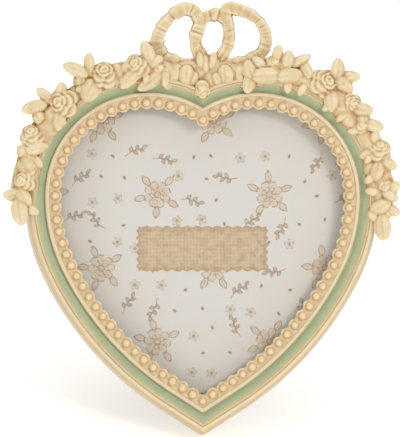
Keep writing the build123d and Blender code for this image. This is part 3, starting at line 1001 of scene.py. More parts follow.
@dataclass
class PearlCourse:
    """Row of pearls in the channel of the band, each with the skirt it was cast with."""

    line_inset: float = 11.25
    steps: int = 39
    radius: float = 1.45
    sunk: float = 0.5
    floor: float = 10.4
    skirt: float = 2.15
    flute: float = 4.2
    edge: float = 0.3
    neck: float = 0.12
    shake: tuple[float, float] = (0.94, 1.05)
    around: int = 20
    seed: int = 7

    def spots(self) -> Array:
        """Places (n, 2) of the pearls: even steps along the inset line, from dip to tip and mirrored.

        Returns:
            The places as x and z.
        """
        line = HEART.half(np.array([self.line_inset]), 0.1)[:, 0]
        length = np.concatenate([[0.0], np.cumsum(np.linalg.norm(np.diff(line, axis=0), axis=1))])
        steps = np.linspace(0, length[-1], self.steps + 1)
        right = np.stack([np.interp(steps, length, line[:, k]) for k in (0, 1)], axis=-1)
        left = right[1:-1] * np.array([-1.0, 1.0])
        return np.concatenate([right, left])

    def build(self) -> Any:
        """Turn one profile, flute, neck and ball, about each spot, and join the skins.

        The profile runs up the flute that carries the pearl, in to the neck, then over the ball from
        below its middle to the crown; each pearl's size is shaken by a few hundredths.

        Returns:
            The object, with the attribute rise.
        """
        spots = self.spots()
        size = np.random.default_rng(self.seed).uniform(*self.shake, size=len(spots))
        bow = np.linspace(math.radians(-16), math.radians(84), 10)
        ball_r = self.radius * np.cos(bow)
        ball_d = self.sunk + self.radius * np.sin(bow)
        flute_r = [0.9, self.skirt, self.skirt, self.skirt - self.edge, self.radius + self.neck]
        reach = np.concatenate([flute_r, ball_r])
        rise = np.concatenate([[-self.flute, -self.flute, -self.edge, 0.03, 0.06], ball_d])
        # rise runs from foot to crown; the pearls' finish paints shade at the foot and a highlight at the
        # crown from it
        mark = np.concatenate([[0.0, 0.0, 0.0, 0.02, 0.12], np.linspace(0.2, 0.96, len(bow))])
        angle = np.linspace(0, 2 * math.pi, self.around, endpoint=False)
        grow = size[:, None, None]
        x = spots[:, 0, None, None] + grow * reach[None, :, None] * np.cos(angle)
        z = spots[:, 1, None, None] + grow * reach[None, :, None] * np.sin(angle)
        d = np.broadcast_to(self.floor + grow * rise[None, :, None], x.shape)
        rings = np.stack([x, d, z], axis=-1)
        whole = gather(skin(pearl) for pearl in rings)
        one = np.concatenate([np.repeat(mark, self.around), [0.0, 1.0]])
        return make_piece("pearl_course", whole, {"rise": np.tile(one, len(spots))}, crease=50.0)

    def dress(self) -> None:
        """Build the pearls and give them their satin cream."""
        hand_over(self.build(), PearlCream().material(), "bead_course")


@dataclass
class Moulding:
    """The cast heart: side wall, rounded rim, fillet, cove, pearl band and rear rebate."""

    spacing: float = 0.7
    # The section, as insets from the outline and depths from the rear
    wall: Points = ((0.0, 0.0), (0.6, 4.0), (1.1, 7.3), (1.2, 7.9), (1.35, 8.05))
    rim_arc: Points = ((1.55, 8.3), (2.05, 10.9), (3.35, 13.0))
    fillet: Points = ((3.58, 12.75), (3.7, 12.45), (3.85, 12.62), (4.0, 12.72), (4.15, 12.6))
    cove_ends: Points = ((4.2, 12.4), (7.4, 9.5))
    cove_radius: float = 4.2
    band: Points = ((7.5, 10.0), (7.62, 10.5), (7.75, 10.8), (8.0, 11.0), (8.5, 11.05), (8.9, 11.0))
    channel: Points = ((9.05, 10.7), (9.2, 10.42), (10.0, 10.4), (10.8, 10.4), (11.6, 10.4), (12.1, 10.4))
    lip: Points = ((12.4, 10.3), (12.58, 10.05), (12.6, 9.0), (12.6, 7.0), (12.6, 5.02))
    rebate: Points = ((12.59, 5.0), (11.0, 5.0), (9.6, 5.0), (9.6, 2.5), (9.6, 0.0), (6.0, 0.0), (3.0, 0.0))
    # Unevenness of the cast face, as height and wave length
    uneven: tuple[float, float] = (0.09, 7.0)
    # The face, which alone is uneven, as insets where it fades in from the wall and out to the lip
    face_in: tuple[float, float] = (0.6, 1.8)
    face_out: tuple[float, float] = (11.7, 12.3)
    # Inset from which the pearls' feet hold wash, and the gap that stands for none
    wash_from: float = 9.0
    no_pearl: float = 9.0
    # Outer edge of the green: its inset, its drift over a width and its waver over a wave length
    green_inset: float = 4.85
    green_drift: tuple[float, float] = (0.1, 30.0)
    green_waver: tuple[float, float] = (0.2, 18.0)

    def profile(self) -> tuple[Array, Array, Array]:
        """Section of the moulding.

        The rim is a bow through three points, the cove a circle hollowed into the face, and the
        rest straight. The rear gets the mark of the side wall, so that it is painted plain.

        Returns:
            Insets, depths and paint marks of the points round the section.
        """
        share = np.linspace(0, 1, 12)
        (t0, d0), (t1, d1), (t2, d2) = self.rim_arc
        bow = np.stack([(1 - share) ** 2, 2 * share * (1 - share), share**2])
        middle_t, middle_d = 2 * t1 - (t0 + t2) / 2, 2 * d1 - (d0 + d2) / 2
        rim_t = bow.T @ np.array([t0, middle_t, t2])
        rim_d = bow.T @ np.array([d0, middle_d, d2])
        start, stop = np.array(self.cove_ends)
        chord = stop - start
        half = np.linalg.norm(chord) / 2
        normal = np.array([-chord[1], chord[0]]) / (2 * half)
        centre = (start + stop) / 2 + normal * math.sqrt(max(self.cove_radius**2 - half**2, 0.0))
        first, last = (math.atan2(p[1] - centre[1], p[0] - centre[0]) for p in (start, stop))
        sweep = np.linspace(first, last, 14)
        cove_t = centre[0] + self.cove_radius * np.cos(sweep)
        cove_d = centre[1] + self.cove_radius * np.sin(sweep)
        front = np.concatenate(
            [
                np.array(self.wall),
                np.stack([rim_t, rim_d], -1),
                np.array(self.fillet),
                np.stack([cove_t, cove_d], -1),
                np.array(self.band + self.channel + self.lip),
            ]
        )
        points = np.concatenate([front, np.array(self.rebate)])
        marks = np.concatenate([front[:, 0], np.zeros(len(self.rebate))])
        return points[:, 0], points[:, 1], marks

    def build(self, pearls: Array) -> Any:
        """Carry the section round the heart, mitred at dip and tip, and shake its face a little.

        Args:
            pearls: places (n, 2) of the pearls, whose feet hold the wash.

        Returns:
            The object, with attributes green_from, inset, along and pearl_gap.
        """
        inset, depth, mark = self.profile()
        loop = HEART.loop(inset, self.spacing)
        rings = np.stack([loop[..., 0], np.broadcast_to(depth, loop.shape[:2]), loop[..., 1]], axis=-1)
        faced = np.interp(mark, self.face_in, (0.0, 1.0)) * np.interp(mark, self.face_out, (1.0, 0.0))
        rings[..., 1] += self.uneven[0] * faced * ripple(rings, self.uneven[1], 3)
        middle = loop[:, loop.shape[1] // 2]
        run = np.concatenate([[0.0], np.cumsum(np.linalg.norm(np.diff(middle, axis=0), axis=1))])
        gap = np.linalg.norm(loop[:, :, None, :] - pearls[None, None], axis=-1).min(axis=-1)
        gap = np.where((mark > self.wash_from)[None, :], gap, self.no_pearl)
        waver, wave = self.green_waver
        drift, width = self.green_drift
        start = self.green_inset + drift * np.clip(middle[:, 0] / width, -1, 1)
        start = start + waver * ripple(rings[:, loop.shape[1] // 2], wave, 4)
        marks = {
            "green_from": np.broadcast_to(start[:, None], gap.shape).ravel(),
            "inset": np.broadcast_to(mark, gap.shape).ravel(),
            "along": np.broadcast_to(run[:, None], gap.shape).ravel(),
            "pearl_gap": gap.ravel(),
        }
        return make_piece("heart_moulding_cast", skin(rings, endless=True), marks, crease=48.0)

    def dress(self, pearls: Array) -> None:
        """Build the moulding round the pearls' places and give it its cream and sage."""
        hand_over(self.build(pearls), BandedCream().material(), "heart_moulding")


@dataclass(frozen=True)
class MeadowPrint:
    """Generic meadow design: open blooms on a half-drop lattice, with smaller drawings between."""

    lattice: tuple[float, float] = (40.0, 42.0)
    bloom_start: tuple[float, float] = (-16.0, 34.0)
    bloom_radius: float = 5.2
    petals: int = 8
    clear: float = 10.0
    small_pitch: float = 9.0
    small_start: float = 14.0
    # Stray of a small drawing from its place, each way
    stray: float = 1.6
    sprig_length: float = 7.0
    blossom_radius: float = 1.8
    seed_radius: float = 0.6
    # Distance that stands for no drawing near
    far_off: float = 9.0
    seed: int = 21

    def drawings(self) -> list[tuple[Motif, float, float, float, float]]:
        """Each drawing of the design, as motif, x, z, turn and size.

        Returns:
            The drawings, blooms first.
        """
        wide, tall = self.lattice
        left, low = self.bloom_start
        dice = np.random.default_rng(self.seed)
        blooms = [
            (column * wide + (row % 2) * wide / 2 + left, low + row * tall / 1.6, dice.uniform(0, 6.28))
            for row in range(5)
            for column in range(-1, 3)
        ]
        found = [(Motif.BLOOM, x, z, turn, self.bloom_radius) for x, z, turn in blooms]
        kinds = (Motif.SPRIG, Motif.SEED, Motif.BLOSSOM, Motif.SEED, Motif.SPRIG, Motif.BLOSSOM, Motif.SEED)
        sizes = {
            Motif.SPRIG: self.sprig_length,
            Motif.BLOSSOM: self.blossom_radius,
            Motif.SEED: self.seed_radius,
        }
        for row in range(12):
            for column in range(-6, 7):
                x = (column + 0.5 * (row % 2)) * self.small_pitch + dice.uniform(-self.stray, self.stray)
                z = self.small_start + row * self.small_pitch * 0.87 + dice.uniform(-self.stray, self.stray)
                turn = dice.uniform(0, 6.28)
                kind = kinds[(column * 3 + row * 5) % len(kinds)]
                if min(math.hypot(x - bx, z - bz) for bx, bz, _ in blooms) > self.clear:
                    found.append((kind, x, z, turn, sizes[kind]))
        return found

    @staticmethod
    def leaf(along: Array, across: Array, length: float, width: float) -> tuple[Array, Array]:
        """Line and tone distances of a leaf: half width grows and shrinks as a half sine of its length.

        Args:
            along: places along its midrib.
            across: places across its midrib.
            length: its length.
            width: its full width.

        Returns:
            Line and tone distances.
        """
        share = np.clip(along / length, 0, 1)
        half = width / 2 * np.sin(math.pi * share) ** 0.8
        over = np.maximum(np.maximum(-along, along - length), 0)
        tone = np.hypot(np.maximum(np.abs(across) - half, 0), over) + np.minimum(np.abs(across) - half, 0)
        return np.minimum(np.abs(tone), np.hypot(across, over) + 0.12), tone

    def bloom(self, u: Array, v: Array, size: float) -> tuple[Array, Array]:
        """Open flower of eight notched petals round a button, on a ring of leaves.

        Args:
            u: places across the flower.
            v: places up the flower.
            size: its radius.

        Returns:
            Line and tone distances.
        """
        far, turn = np.hypot(u, v), np.arctan2(v, u)
        line, tone = np.full(far.shape, self.far_off), np.full(far.shape, self.far_off)
        for side in (0.4, 1.5, 2.9, 4.3, 5.4):
            along = u * math.cos(side) + v * math.sin(side) - 0.8 * size
            across = v * math.cos(side) - u * math.sin(side)
            leaf_line, leaf_tone = self.leaf(along, across, 0.85 * size, 0.42 * size)
            line, tone = np.minimum(line, leaf_line), np.minimum(tone, leaf_tone)
        petals = self.petals
        wave = np.abs(np.cos(petals * turn / 2))
        rim = size * (0.6 + 0.36 * wave**0.6 - 0.07 * wave**10)
        inner = size * (0.36 + 0.16 * np.abs(np.cos(petals * turn / 2 + 0.6)) ** 0.7)
        head = far - rim
        ray = np.abs(np.sin(petals / 2 * (turn + math.pi / petals))) * far * 2 / petals
        ray = np.where((far > 0.3 * size) & (head < 0), np.abs(ray), self.far_off)
        button = np.abs(far - 0.2 * size)
        freckle = 0.16 + np.abs(np.sin(turn * 7) * np.cos(far * 3.2)) * 0.9
        freckle = np.where(far < 0.34 * size, freckle, self.far_off)
        drawn = np.minimum.reduce([np.abs(head), np.abs(far - inner) + 0.06, ray + 0.05, button, freckle])
        inside = head < 0
        return np.where(inside, drawn, np.minimum(line, np.abs(head))), np.where(inside, head, tone)

    def sprig(self, u: Array, v: Array, size: float) -> tuple[Array, Array]:
        """Bent stem with five leaves and a bud.

        Args:
            u: places along the stem.
            v: places across the stem.
            size: its length.

        Returns:
            Line and tone distances.
        """
        bend = 0.12 * size * np.sin(math.pi * np.clip(u / size + 0.5, 0, 1))
        over = np.maximum(np.abs(u) - size / 2, 0)
        line, tone = np.hypot(v - bend, over), np.full(u.shape, self.far_off)
        for at, side in ((-0.2, 1.0), (-0.05, -0.9), (0.12, 0.9), (0.28, -0.8), (0.45, 0.15)):
            along = (u - at * size) * math.cos(side) + (v - 0.1 * size) * math.sin(side)
            across = (v - 0.1 * size) * math.cos(side) - (u - at * size) * math.sin(side)
            leaf_line, leaf_tone = self.leaf(along, across, 0.3 * size, 0.15 * size)
            line, tone = np.minimum(line, leaf_line), np.minimum(tone, leaf_tone)
        return line, tone

    def fields(self, x: Array, z: Array) -> tuple[Array, Array]:
        """Distances in millimetres to the nearest drawn line and into the nearest tinted shape.

        Args:
            x: places across the paper.
            z: places up the paper.

        Returns:
            Line and tone distances.
        """
        line, tone = np.full(x.shape, self.far_off), np.full(x.shape, self.far_off)
        for kind, x0, z0, turn, size in self.drawings():
            near = np.hypot(x - x0, z - z0) < 2.2 * size + 1.0
            u = (x[near] - x0) * math.cos(turn) + (z[near] - z0) * math.sin(turn)
            v = (z[near] - z0) * math.cos(turn) - (x[near] - x0) * math.sin(turn)
            if kind is Motif.BLOOM:
                drawn, tinted = self.bloom(u, v, size)
            elif kind is Motif.SPRIG:
                drawn, tinted = self.sprig(u, v, size)
            elif kind is Motif.BLOSSOM:
                far, angle = np.hypot(u, v), np.arctan2(v, u)
                tinted = far - size * (0.5 + 0.5 * np.abs(np.cos(2.5 * angle)) ** 0.8)
                drawn = np.minimum(np.abs(tinted) + 0.05, np.abs(far - 0.2 * size))
            else:
                tinted = np.hypot(u, 1.5 * v) - size
                drawn = np.maximum(tinted, 0.0)
            line[near] = np.minimum(line[near], drawn)
            tone[near] = np.minimum(tone[near], tinted)
        return line, tone


@dataclass
class PictureInsert:
    """Heart shaped printed card behind the glass."""

    outline_inset: float = 10.15
    front: float = 2.98
    back: float = 2.72
    centre_z: float = 72.0
    rings: int = 132
    label_centre: tuple[float, float] = (0.0, 67.2)
    label_half: tuple[float, float] = (23.2, 7.9)
    pinking: tuple[float, float] = (1.25, 1.8)
    pinking_depth: tuple[float, float] = (0.9, 0.7)
    design: MeadowPrint = field(default_factory=MeadowPrint)

    def label(self, x: Array, z: Array) -> Array:
        """Distance out of the bare label: a rectangle whose edges are cut in zigzags.

        Args:
            x: places across the paper.
            z: places up the paper.

        Returns:
            The distances, below zero on the label.
        """
        across, up = x - self.label_centre[0], z - self.label_centre[1]
        side, end = self.pinking
        teeth = np.abs((up / side) % 2 - 1) - 0.5
        waves = np.abs((across / end) % 2 - 1) - 0.5
        past_side = np.abs(across) - self.label_half[0] + self.pinking_depth[0] * teeth
        past_end = np.abs(up) - self.label_half[1] + self.pinking_depth[1] * waves
        return np.maximum(past_side, past_end)

    def build(self) -> Any:
        """Shrink the heart towards a point inside it, ring by ring, for the face, and close it behind.

        Returns:
            The object, with attributes line, tone and label.
        """
        loop = HEART.loop(np.array([self.outline_inset]), 0.5)[:, 0]
        centre = np.array([0.0, self.centre_z])
        share = np.linspace(0.004, 1.0, self.rings)[:, None, None]
        face = centre + share * (loop - centre)
        rear = np.stack([face[-1], face[0]])
        flat = np.concatenate([face, rear])
        depth = np.concatenate([np.full(self.rings, self.front), np.full(2, self.back)])
        depths = np.broadcast_to(depth[:, None], flat.shape[:2])
        shell = skin(np.stack([flat[..., 0], depths, flat[..., 1]], axis=-1))
        x, z = shell.points[:, 0], shell.points[:, 2]
        line, tone = self.design.fields(x, z)
        return make_piece("printed_insert", shell, {"line": line, "tone": tone, "label": self.label(x, z)})

    def dress(self) -> None:
        """Build the insert and print it."""
        hand_over(self.build(), PrintedCard().material(), "picture_insert")


# Roses, leaves and the bow


@dataclass(frozen=True)
class Leaf:
    """A leaf on a lobe: where its base sits, its size and its heading from the radius."""

    angle: float
    out: float
    length: float
    width: float
    heading: float


@dataclass(frozen=True)
class Rose:
    """A rose on a lobe: where it sits and its diameter."""

    angle: float
    out: float
    diameter: float


def set_on_face(local: Array, x: float, z: float, height: float, heading: float) -> Array:
    """Put local places (along, across, up) on the face, turned by a heading in degrees.

    Args:
        local: the places (..., 3).
        x: where their origin lies across the face.
        z: where it lies up the face.
        height: how far it lies forwards from the rear.
        heading: the turn on the face.

    Returns:
        Places (..., 3) as x, d and z.
    """
    turn = math.radians(heading)
    along, across, up = np.moveaxis(local, -1, 0)
    face_x = x + along * math.cos(turn) - across * math.sin(turn)
    face_z = z + along * math.sin(turn) + across * math.cos(turn)
    return np.stack([face_x, height + up, face_z], axis=-1)


def leaf_rings(length: float, width: float, roll: float, lift: float, groove: float = 0.15) -> Array:
    """Rings of one plump leaf along its midrib.

    Half width rises as an ellipse and falls to a blunt tip; the top is a crown with a shallow
    groove along the midrib, the underside a shallower bow; the blade rolls about its midrib, bends
    sideways and droops to its tip.

    Args:
        length: length of the blade.
        width: its full width.
        roll: turn about the midrib, in degrees.
        lift: rise of the blade's middle over its ends.
        groove: depth of the groove.

    Returns:
        Rings (stations, around, 3) as along, across and up.
    """
    u = np.linspace(0.0, 1.0, 34)[:, None]
    rising = np.clip(1 - ((0.46 - u) / 0.47) ** 2 * (u < 0.46), 0, 1) ** 0.5
    falling = np.clip(1 - (np.clip(u - 0.46, 0, 1) / 0.541) ** 2.2, 0, 1) ** 0.6
    oval = np.maximum(rising * falling, 0.01)
    half = width / 2 * oval
    v = np.concatenate([np.linspace(-1, 1, 21), np.linspace(1, -1, 13)[1:-1]])[None, :]
    top = np.arange(v.shape[1])[None, :] < 21
    crown = 1.25 * np.clip(1 - np.abs(v) ** 2.4, 0, None) * np.sqrt(oval)
    crown = crown - groove * np.exp(-((v * half / 0.4) ** 2)) * np.clip(1.1 - u, 0, 1) ** 0.4
    under = -0.95 * np.sqrt(np.clip(1 - v**2, 0, None)) * np.sqrt(oval) - 0.1
    up = np.where(top, crown, under)
    across = v * half
    turn = math.radians(roll)
    spine = lift * np.sin(math.pi * u) - 0.8 * u**2.5
    up_turned = spine + up * math.cos(turn) + across * math.sin(turn)
    bend = 0.005 * roll * length * u**2
    across_turned = bend + across * math.cos(turn) - up * math.sin(turn)
    along = np.broadcast_to(u * length, across.shape)
    return np.stack([along, across_turned, up_turned], axis=-1)


def ball_rings(size: tuple[float, float, float]) -> Array:
    """Rings of an egg: circles of cosine radius along its first axis, stretched to three half sizes.

    Args:
        size: half sizes along, across and up.

    Returns:
        Rings (stations, around, 3).
    """
    v = np.linspace(-0.985, 0.985, 14)[:, None] * math.pi / 2
    angle = np.linspace(0, 2 * math.pi, 20, endpoint=False)[None, :]
    along, across, up = np.broadcast_arrays(np.sin(v), np.cos(v) * np.cos(angle), np.cos(v) * np.sin(angle))
    return np.stack([along, across, up], axis=-1) * np.array(size)


def rose_rings(diameter: float, turn: float, tilt: float, toward: float) -> Array:
    """Rings of one rose in low relief, from its heart out over its petals and in again to its foot.

    Its top is a dome in terraces. Each whorl ends at a scalloped rim, one lobe for each petal: beyond
    the rim the dome drops by a step, before it the petal cups up, and each petal laps over the next.
    The inner whorls sit astray, towards the side that the rose leans to. The outermost rim turns under
    to a narrower foot.

    Args:
        diameter: across the open petals.
        turn: turn of the whorls, in degrees.
        tilt: lean of the rose's axis, in degrees.
        toward: direction that it leans in on the face, in degrees.

    Returns:
        Rings (stations, around, 3) as two places on the face and up.
    """
    whorls = ((0.28, 2, 0.1, 0.1), (0.54, 3, 0.11, 0.15), (0.8, 4, 0.12, 0.08), (1.0, 5, 0.3, 0.0))
    angle = np.linspace(0, 2 * math.pi, 96, endpoint=False)[None, :]
    share = np.linspace(0.01, 1.0, 70)[:, None]
    rims, laps = [], []
    for number, (reach, petals, _, astray) in enumerate(whorls):
        phase = petals * (angle - math.radians(turn + 67.0 * number))
        rims.append(reach * (0.82 + 0.18 * np.abs(np.sin(phase / 2)) ** 0.8) + astray * np.cos(angle))
        laps.append(phase / (2 * math.pi) % 1.0 - 0.5)
    far = share * rims[-1]
    up = np.zeros_like(far)
    bowl = np.zeros_like(far)
    for number in reversed(range(len(whorls))):
        inner = rims[number - 1] if number else 0.0 * rims[0]
        cup = np.clip((far - inner) / (rims[number] - inner), 0, 1) ** 1.8
        bowl = np.where(far <= rims[number], 0.07 * cup + 0.07 * laps[number], bowl)
        up = up + whorls[number][2] * np.clip((rims[number] - far) / 0.1 + 0.5, 0, 1)
    up = up + bowl - 0.36 * far**2
    under_far = np.concatenate([1.0 * rims[-1], 0.86 * rims[-1], 0.6 * rims[-1]])
    under_up = np.concatenate([up[-1:] - 0.2, up[-1:] - 0.4, up[-1:] - 1.0])
    far = np.concatenate([far, under_far]) * diameter / 2
    up = np.concatenate([up, under_up]) * diameter / 2
    lean, way = math.radians(tilt), math.radians(toward)
    fore, beside = far * np.cos(angle), far * np.sin(angle)
    along = fore * math.cos(lean) + up * math.sin(lean) - 0.2 * diameter * math.sin(lean)
    rise = up * math.cos(lean) - fore * math.sin(lean)
    x = along * math.cos(way) - beside * math.sin(way)
    z = along * math.sin(way) + beside * math.cos(way)
    return np.stack([x, z, rise], axis=-1)


@dataclass
class RoseSpray:
    """A spray of roses and leaves on a vine round part of one lobe, cast in one."""

    node: str
    side: int
    start: float
    end: float
    flowers: tuple[Any, ...]
    bed_out: float = -0.4
    bed_height: float = 9.8
    bed_half: tuple[float, float] = (4.8, 4.1)
    bed_over: tuple[float, float] = (5.0, 5.0)
    leaf_seat: float = 12.9
    leaf_root: float = 2.2
    rose_seat: float = 12.5
    leaf_grow: float = 1.1
    rose_grow: float = 1.06
    # Small leaves that fill the bed: how far out each of a pair sits, its heading and its length
    filler_pair: tuple[tuple[float, float, float], ...] = ((-0.8, 180.0, 5.0), (0.8, 90.0, 7.0))
    filler_step: float = 11.0
    filler_slim: float = 0.66
    # Lumps of the bed, as height, wave length and seed
    lumps: tuple[tuple[float, float, int], ...] = ((0.4, 7.0, 11), (0.12, 3.6, 12))
    grain: float = 0.23

    def spot(self, angle: float, out: float) -> tuple[float, float]:
        """Place on the lobe at an angle and a distance out from its outline.

        Args:
            angle: angle round the lobe's centre, in degrees.
            out: the distance.

        Returns:
            Its x and z.
        """
        reach = HEART.lobe_radius + out
        turn = math.radians(angle)
        x = HEART.lobe_offset + reach * math.cos(turn)
        return self.side * x, HEART.lobe_z + reach * math.sin(turn)

    def facing(self, heading: float) -> float:
        """Heading on the face of one given on the right lobe, mirrored for the left one."""
        return heading if self.side > 0 else 180.0 - heading

    def bed(self) -> Shell:
        """Lumpy bed of the spray along the lobe: an oval section, shaken by two sizes of ripple.

        Returns:
            The bed's skin.
        """
        turn = np.linspace(self.start - self.bed_over[0], self.end + self.bed_over[1], 110)[:, None]
        around = np.linspace(0, 2 * math.pi, 44, endpoint=False)[None, :]
        taper = np.sin(np.linspace(0.03, math.pi - 0.03, 110)) ** 0.18
        reach = HEART.lobe_radius + self.bed_out + self.bed_half[0] * taper[:, None] * np.cos(around)
        height = self.bed_height + self.bed_half[1] * taper[:, None] * np.sin(around)
        angle = np.radians(turn)
        x = self.side * (HEART.lobe_offset + reach * np.cos(angle))
        z = HEART.lobe_z + reach * np.sin(angle)
        rings = np.stack([x, height, z], axis=-1)
        lump = sum(high * ripple(rings, wave, seed) for high, wave, seed in self.lumps)
        swell = (1 + lump / self.bed_half[0])[..., None]
        middle = rings.mean(axis=1, keepdims=True)
        return skin(middle + (rings - middle) * swell)

    def fillers(self) -> list[Shell]:
        """Small leaves that break up the bed, in pairs: one over its inner side, one along it.

        Returns:
            Their skins.
        """
        dice = np.random.default_rng(int(self.start) + 40 + self.side)
        found = []
        for angle in np.arange(self.start, self.end, self.filler_step):
            for out, heading, length in self.filler_pair:
                x, z = self.spot(angle + dice.uniform(-2.0, 2.0), out + dice.uniform(-0.5, 0.5))
                way = self.facing(angle + heading + dice.uniform(-55.0, 40.0))
                size = length * dice.uniform(0.85, 1.1)
                rings = leaf_rings(size, self.filler_slim * size, dice.uniform(-12.0, 12.0), 0.3)
                found.append(skin(set_on_face(rings, x, z, self.leaf_seat + dice.uniform(-0.5, 0.1), way)))
        return found

    def build(self) -> Any:
        """Set every leaf and rose on the bed and cast them together.

        Returns:
            The object, with the attributes that cast gives it.
        """
        shells = [self.bed(), *self.fillers()]
        for number, flower in enumerate(self.flowers):
            x, z = self.spot(flower.angle, flower.out)
            sway = math.sin(2.3 * number + self.start)
            if isinstance(flower, Leaf):
                heading = self.facing(flower.angle + flower.heading)
                length, width = flower.length + self.leaf_root, self.leaf_grow * flower.width
                rings = leaf_rings(length, width, 10.0 * sway, 0.5 + 0.3 * sway)
                rings[..., 0] -= self.leaf_root
                shells.append(skin(set_on_face(rings, x, z, self.leaf_seat + 0.3 * sway, heading)))
            else:
                toward = self.facing(flower.angle + 60.0 * sway)
                across = self.rose_grow * flower.diameter
                rose = rose_rings(across, 50.0 * number, 24.0 + 6.0 * sway, toward)
                shells.append(skin(set_on_face(rose, x, z, self.rose_seat, 0.0)))
        return cast(self.node + "_cast", shells, self.grain, easing=6)

    def dress(self, coat: Any) -> None:
        """Build the spray and give it its aged cream."""
        hand_over(self.build(), coat, self.node)


SPRAYS = (
    RoseSpray("rose_spray_left_top", -1, 57, 99, (
        Leaf(62.9, -0.2, 6.8, 6.7, -126), Rose(70.2, 2.3, 10.6), Leaf(64.6, 4.6, 6.7, 3.9, 20),
        Leaf(61.6, 5.0, 7.6, 4.6, -34), Rose(59.2, 3.9, 5.4), Rose(84.1, 2.3, 9.9),
        Leaf(84.3, 0.2, 8.5, 5.0, -129), Leaf(95.4, -0.9, 10.0, 5.0, -134), Leaf(90.6, 3.8, 7.3, 4.6, -22),
        Rose(95.2, 1.1, 5.4), Leaf(97.6, -0.5, 5.2, 3.7, 168),
    )),
    RoseSpray("rose_spray_left_mid", -1, 26, 53, (
        Rose(28.4, 2.8, 9.0), Leaf(40.2, 5.4, 7.4, 4.6, -56), Leaf(44.1, 4.0, 6.7, 3.9, -4),
        Rose(36.6, 3.8, 5.2), Rose(46.3, 1.2, 11.4), Leaf(43.7, -0.8, 7.5, 5.0, -126),
    )),
    RoseSpray("rose_spray_left_low", -1, -4, 21, (
        Leaf(-3.3, 1.7, 8.0, 5.7, -91), Leaf(0.7, 1.4, 5.9, 4.6, -8), Leaf(1.2, 0.6, 6.2, 5.0, -115),
        Rose(7.0, 0.9, 8.6), Leaf(19.1, -0.2, 7.1, 4.6, -115), Leaf(21.4, 0.1, 6.0, 4.3, 145),
        Rose(19.4, 3.2, 5.2),
    ), bed_over=(0.5, 5.0)),
    RoseSpray("rose_spray_right_top", 1, 66, 95, (
        Leaf(92.6, -1.8, 6.0, 5.0, 15), Leaf(93.1, -2.1, 6.1, 4.6, 167), Leaf(90.7, -2.0, 9.9, 5.7, -91),
        Rose(82.2, 3.6, 6.2), Leaf(82.1, 5.1, 5.0, 3.6, -7), Leaf(78.4, -1.2, 8.2, 5.3, -77),
        Leaf(74.2, 4.4, 6.9, 3.4, -43), Leaf(77.1, 3.6, 5.1, 4.3, 0),
    )),
    RoseSpray("rose_spray_right_mid", 1, 31, 63, (
        Rose(58.4, 3.1, 11.0), Leaf(56.6, 7.0, 6.2, 5.0, 23), Leaf(54.6, 7.3, 7.0, 4.4, -49),
        Leaf(56.0, 6.0, 7.6, 5.0, -97), Leaf(53.9, -0.1, 6.2, 5.3, -141), Rose(43.5, 2.7, 7.8),
        Leaf(41.0, 2.8, 5.9, 4.6, -52), Rose(33.7, 0.8, 5.8), Leaf(33.0, 2.6, 6.0, 4.3, -44),
    )),
    RoseSpray("rose_spray_right_low", 1, -11, 27, (
        Rose(22.0, 2.5, 9.0), Leaf(19.8, 0.4, 5.9, 4.3, 175), Leaf(15.8, 1.8, 5.9, 4.3, -42),
        Leaf(14.2, -0.2, 6.3, 4.6, -121), Rose(3.4, 1.4, 6.6), Leaf(1.1, 1.8, 4.6, 3.9, -36),
        Leaf(-3.8, 1.1, 6.5, 5.3, -147), Leaf(-5.1, 1.5, 5.7, 4.3, -15), Leaf(-10.6, 0.5, 7.7, 6.0, -76),
    ), bed_over=(0.5, 5.0)),
)


@dataclass(frozen=True)
class Loop:
    """One loop of the bow: the middle of its ribbon, by places over the dip, its width and its height."""

    middle: Points
    width: float
    height: float
    seed: int


@dataclass(frozen=True)
class Egg:
    """An egg of resin: its middle over the dip, its height, its half sizes and its heading."""

    x: float
    up: float
    height: float
    size: tuple[float, float, float]
    heading: float

    def shell(self) -> Shell:
        """Its skin on the face."""
        z = HEART.cusp_z + self.up
        return skin(set_on_face(ball_rings(self.size), self.x, z, self.height, self.heading))


def closed_curve(points: Array, count: int, ease: float) -> Array:
    """Smooth closed line past some points.

    The closed polygon is walked at an even pace, and each step is the mean of its neighbours under a
    bell curve, taken round the whole loop.

    Args:
        points: places (n, 2) that the line passes.
        count: how many places the line has.
        ease: spread of the bell curve, in millimetres.

    Returns:
        Places (count, 2).
    """
    ring = np.concatenate([points, points[:1]])
    length = np.concatenate([[0.0], np.cumsum(np.linalg.norm(np.diff(ring, axis=0), axis=1))])
    pace = np.linspace(0, length[-1], count, endpoint=False)
    walked = np.stack([np.interp(pace, length, ring[:, k]) for k in (0, 1)], axis=-1)
    away = np.minimum(pace, length[-1] - pace)
    bell = np.exp(-((away / ease) ** 2) / 2)
    spread = np.fft.fft(bell / bell.sum())[:, None]
    return np.fft.ifft(np.fft.fft(walked, axis=0) * spread, axis=0).real


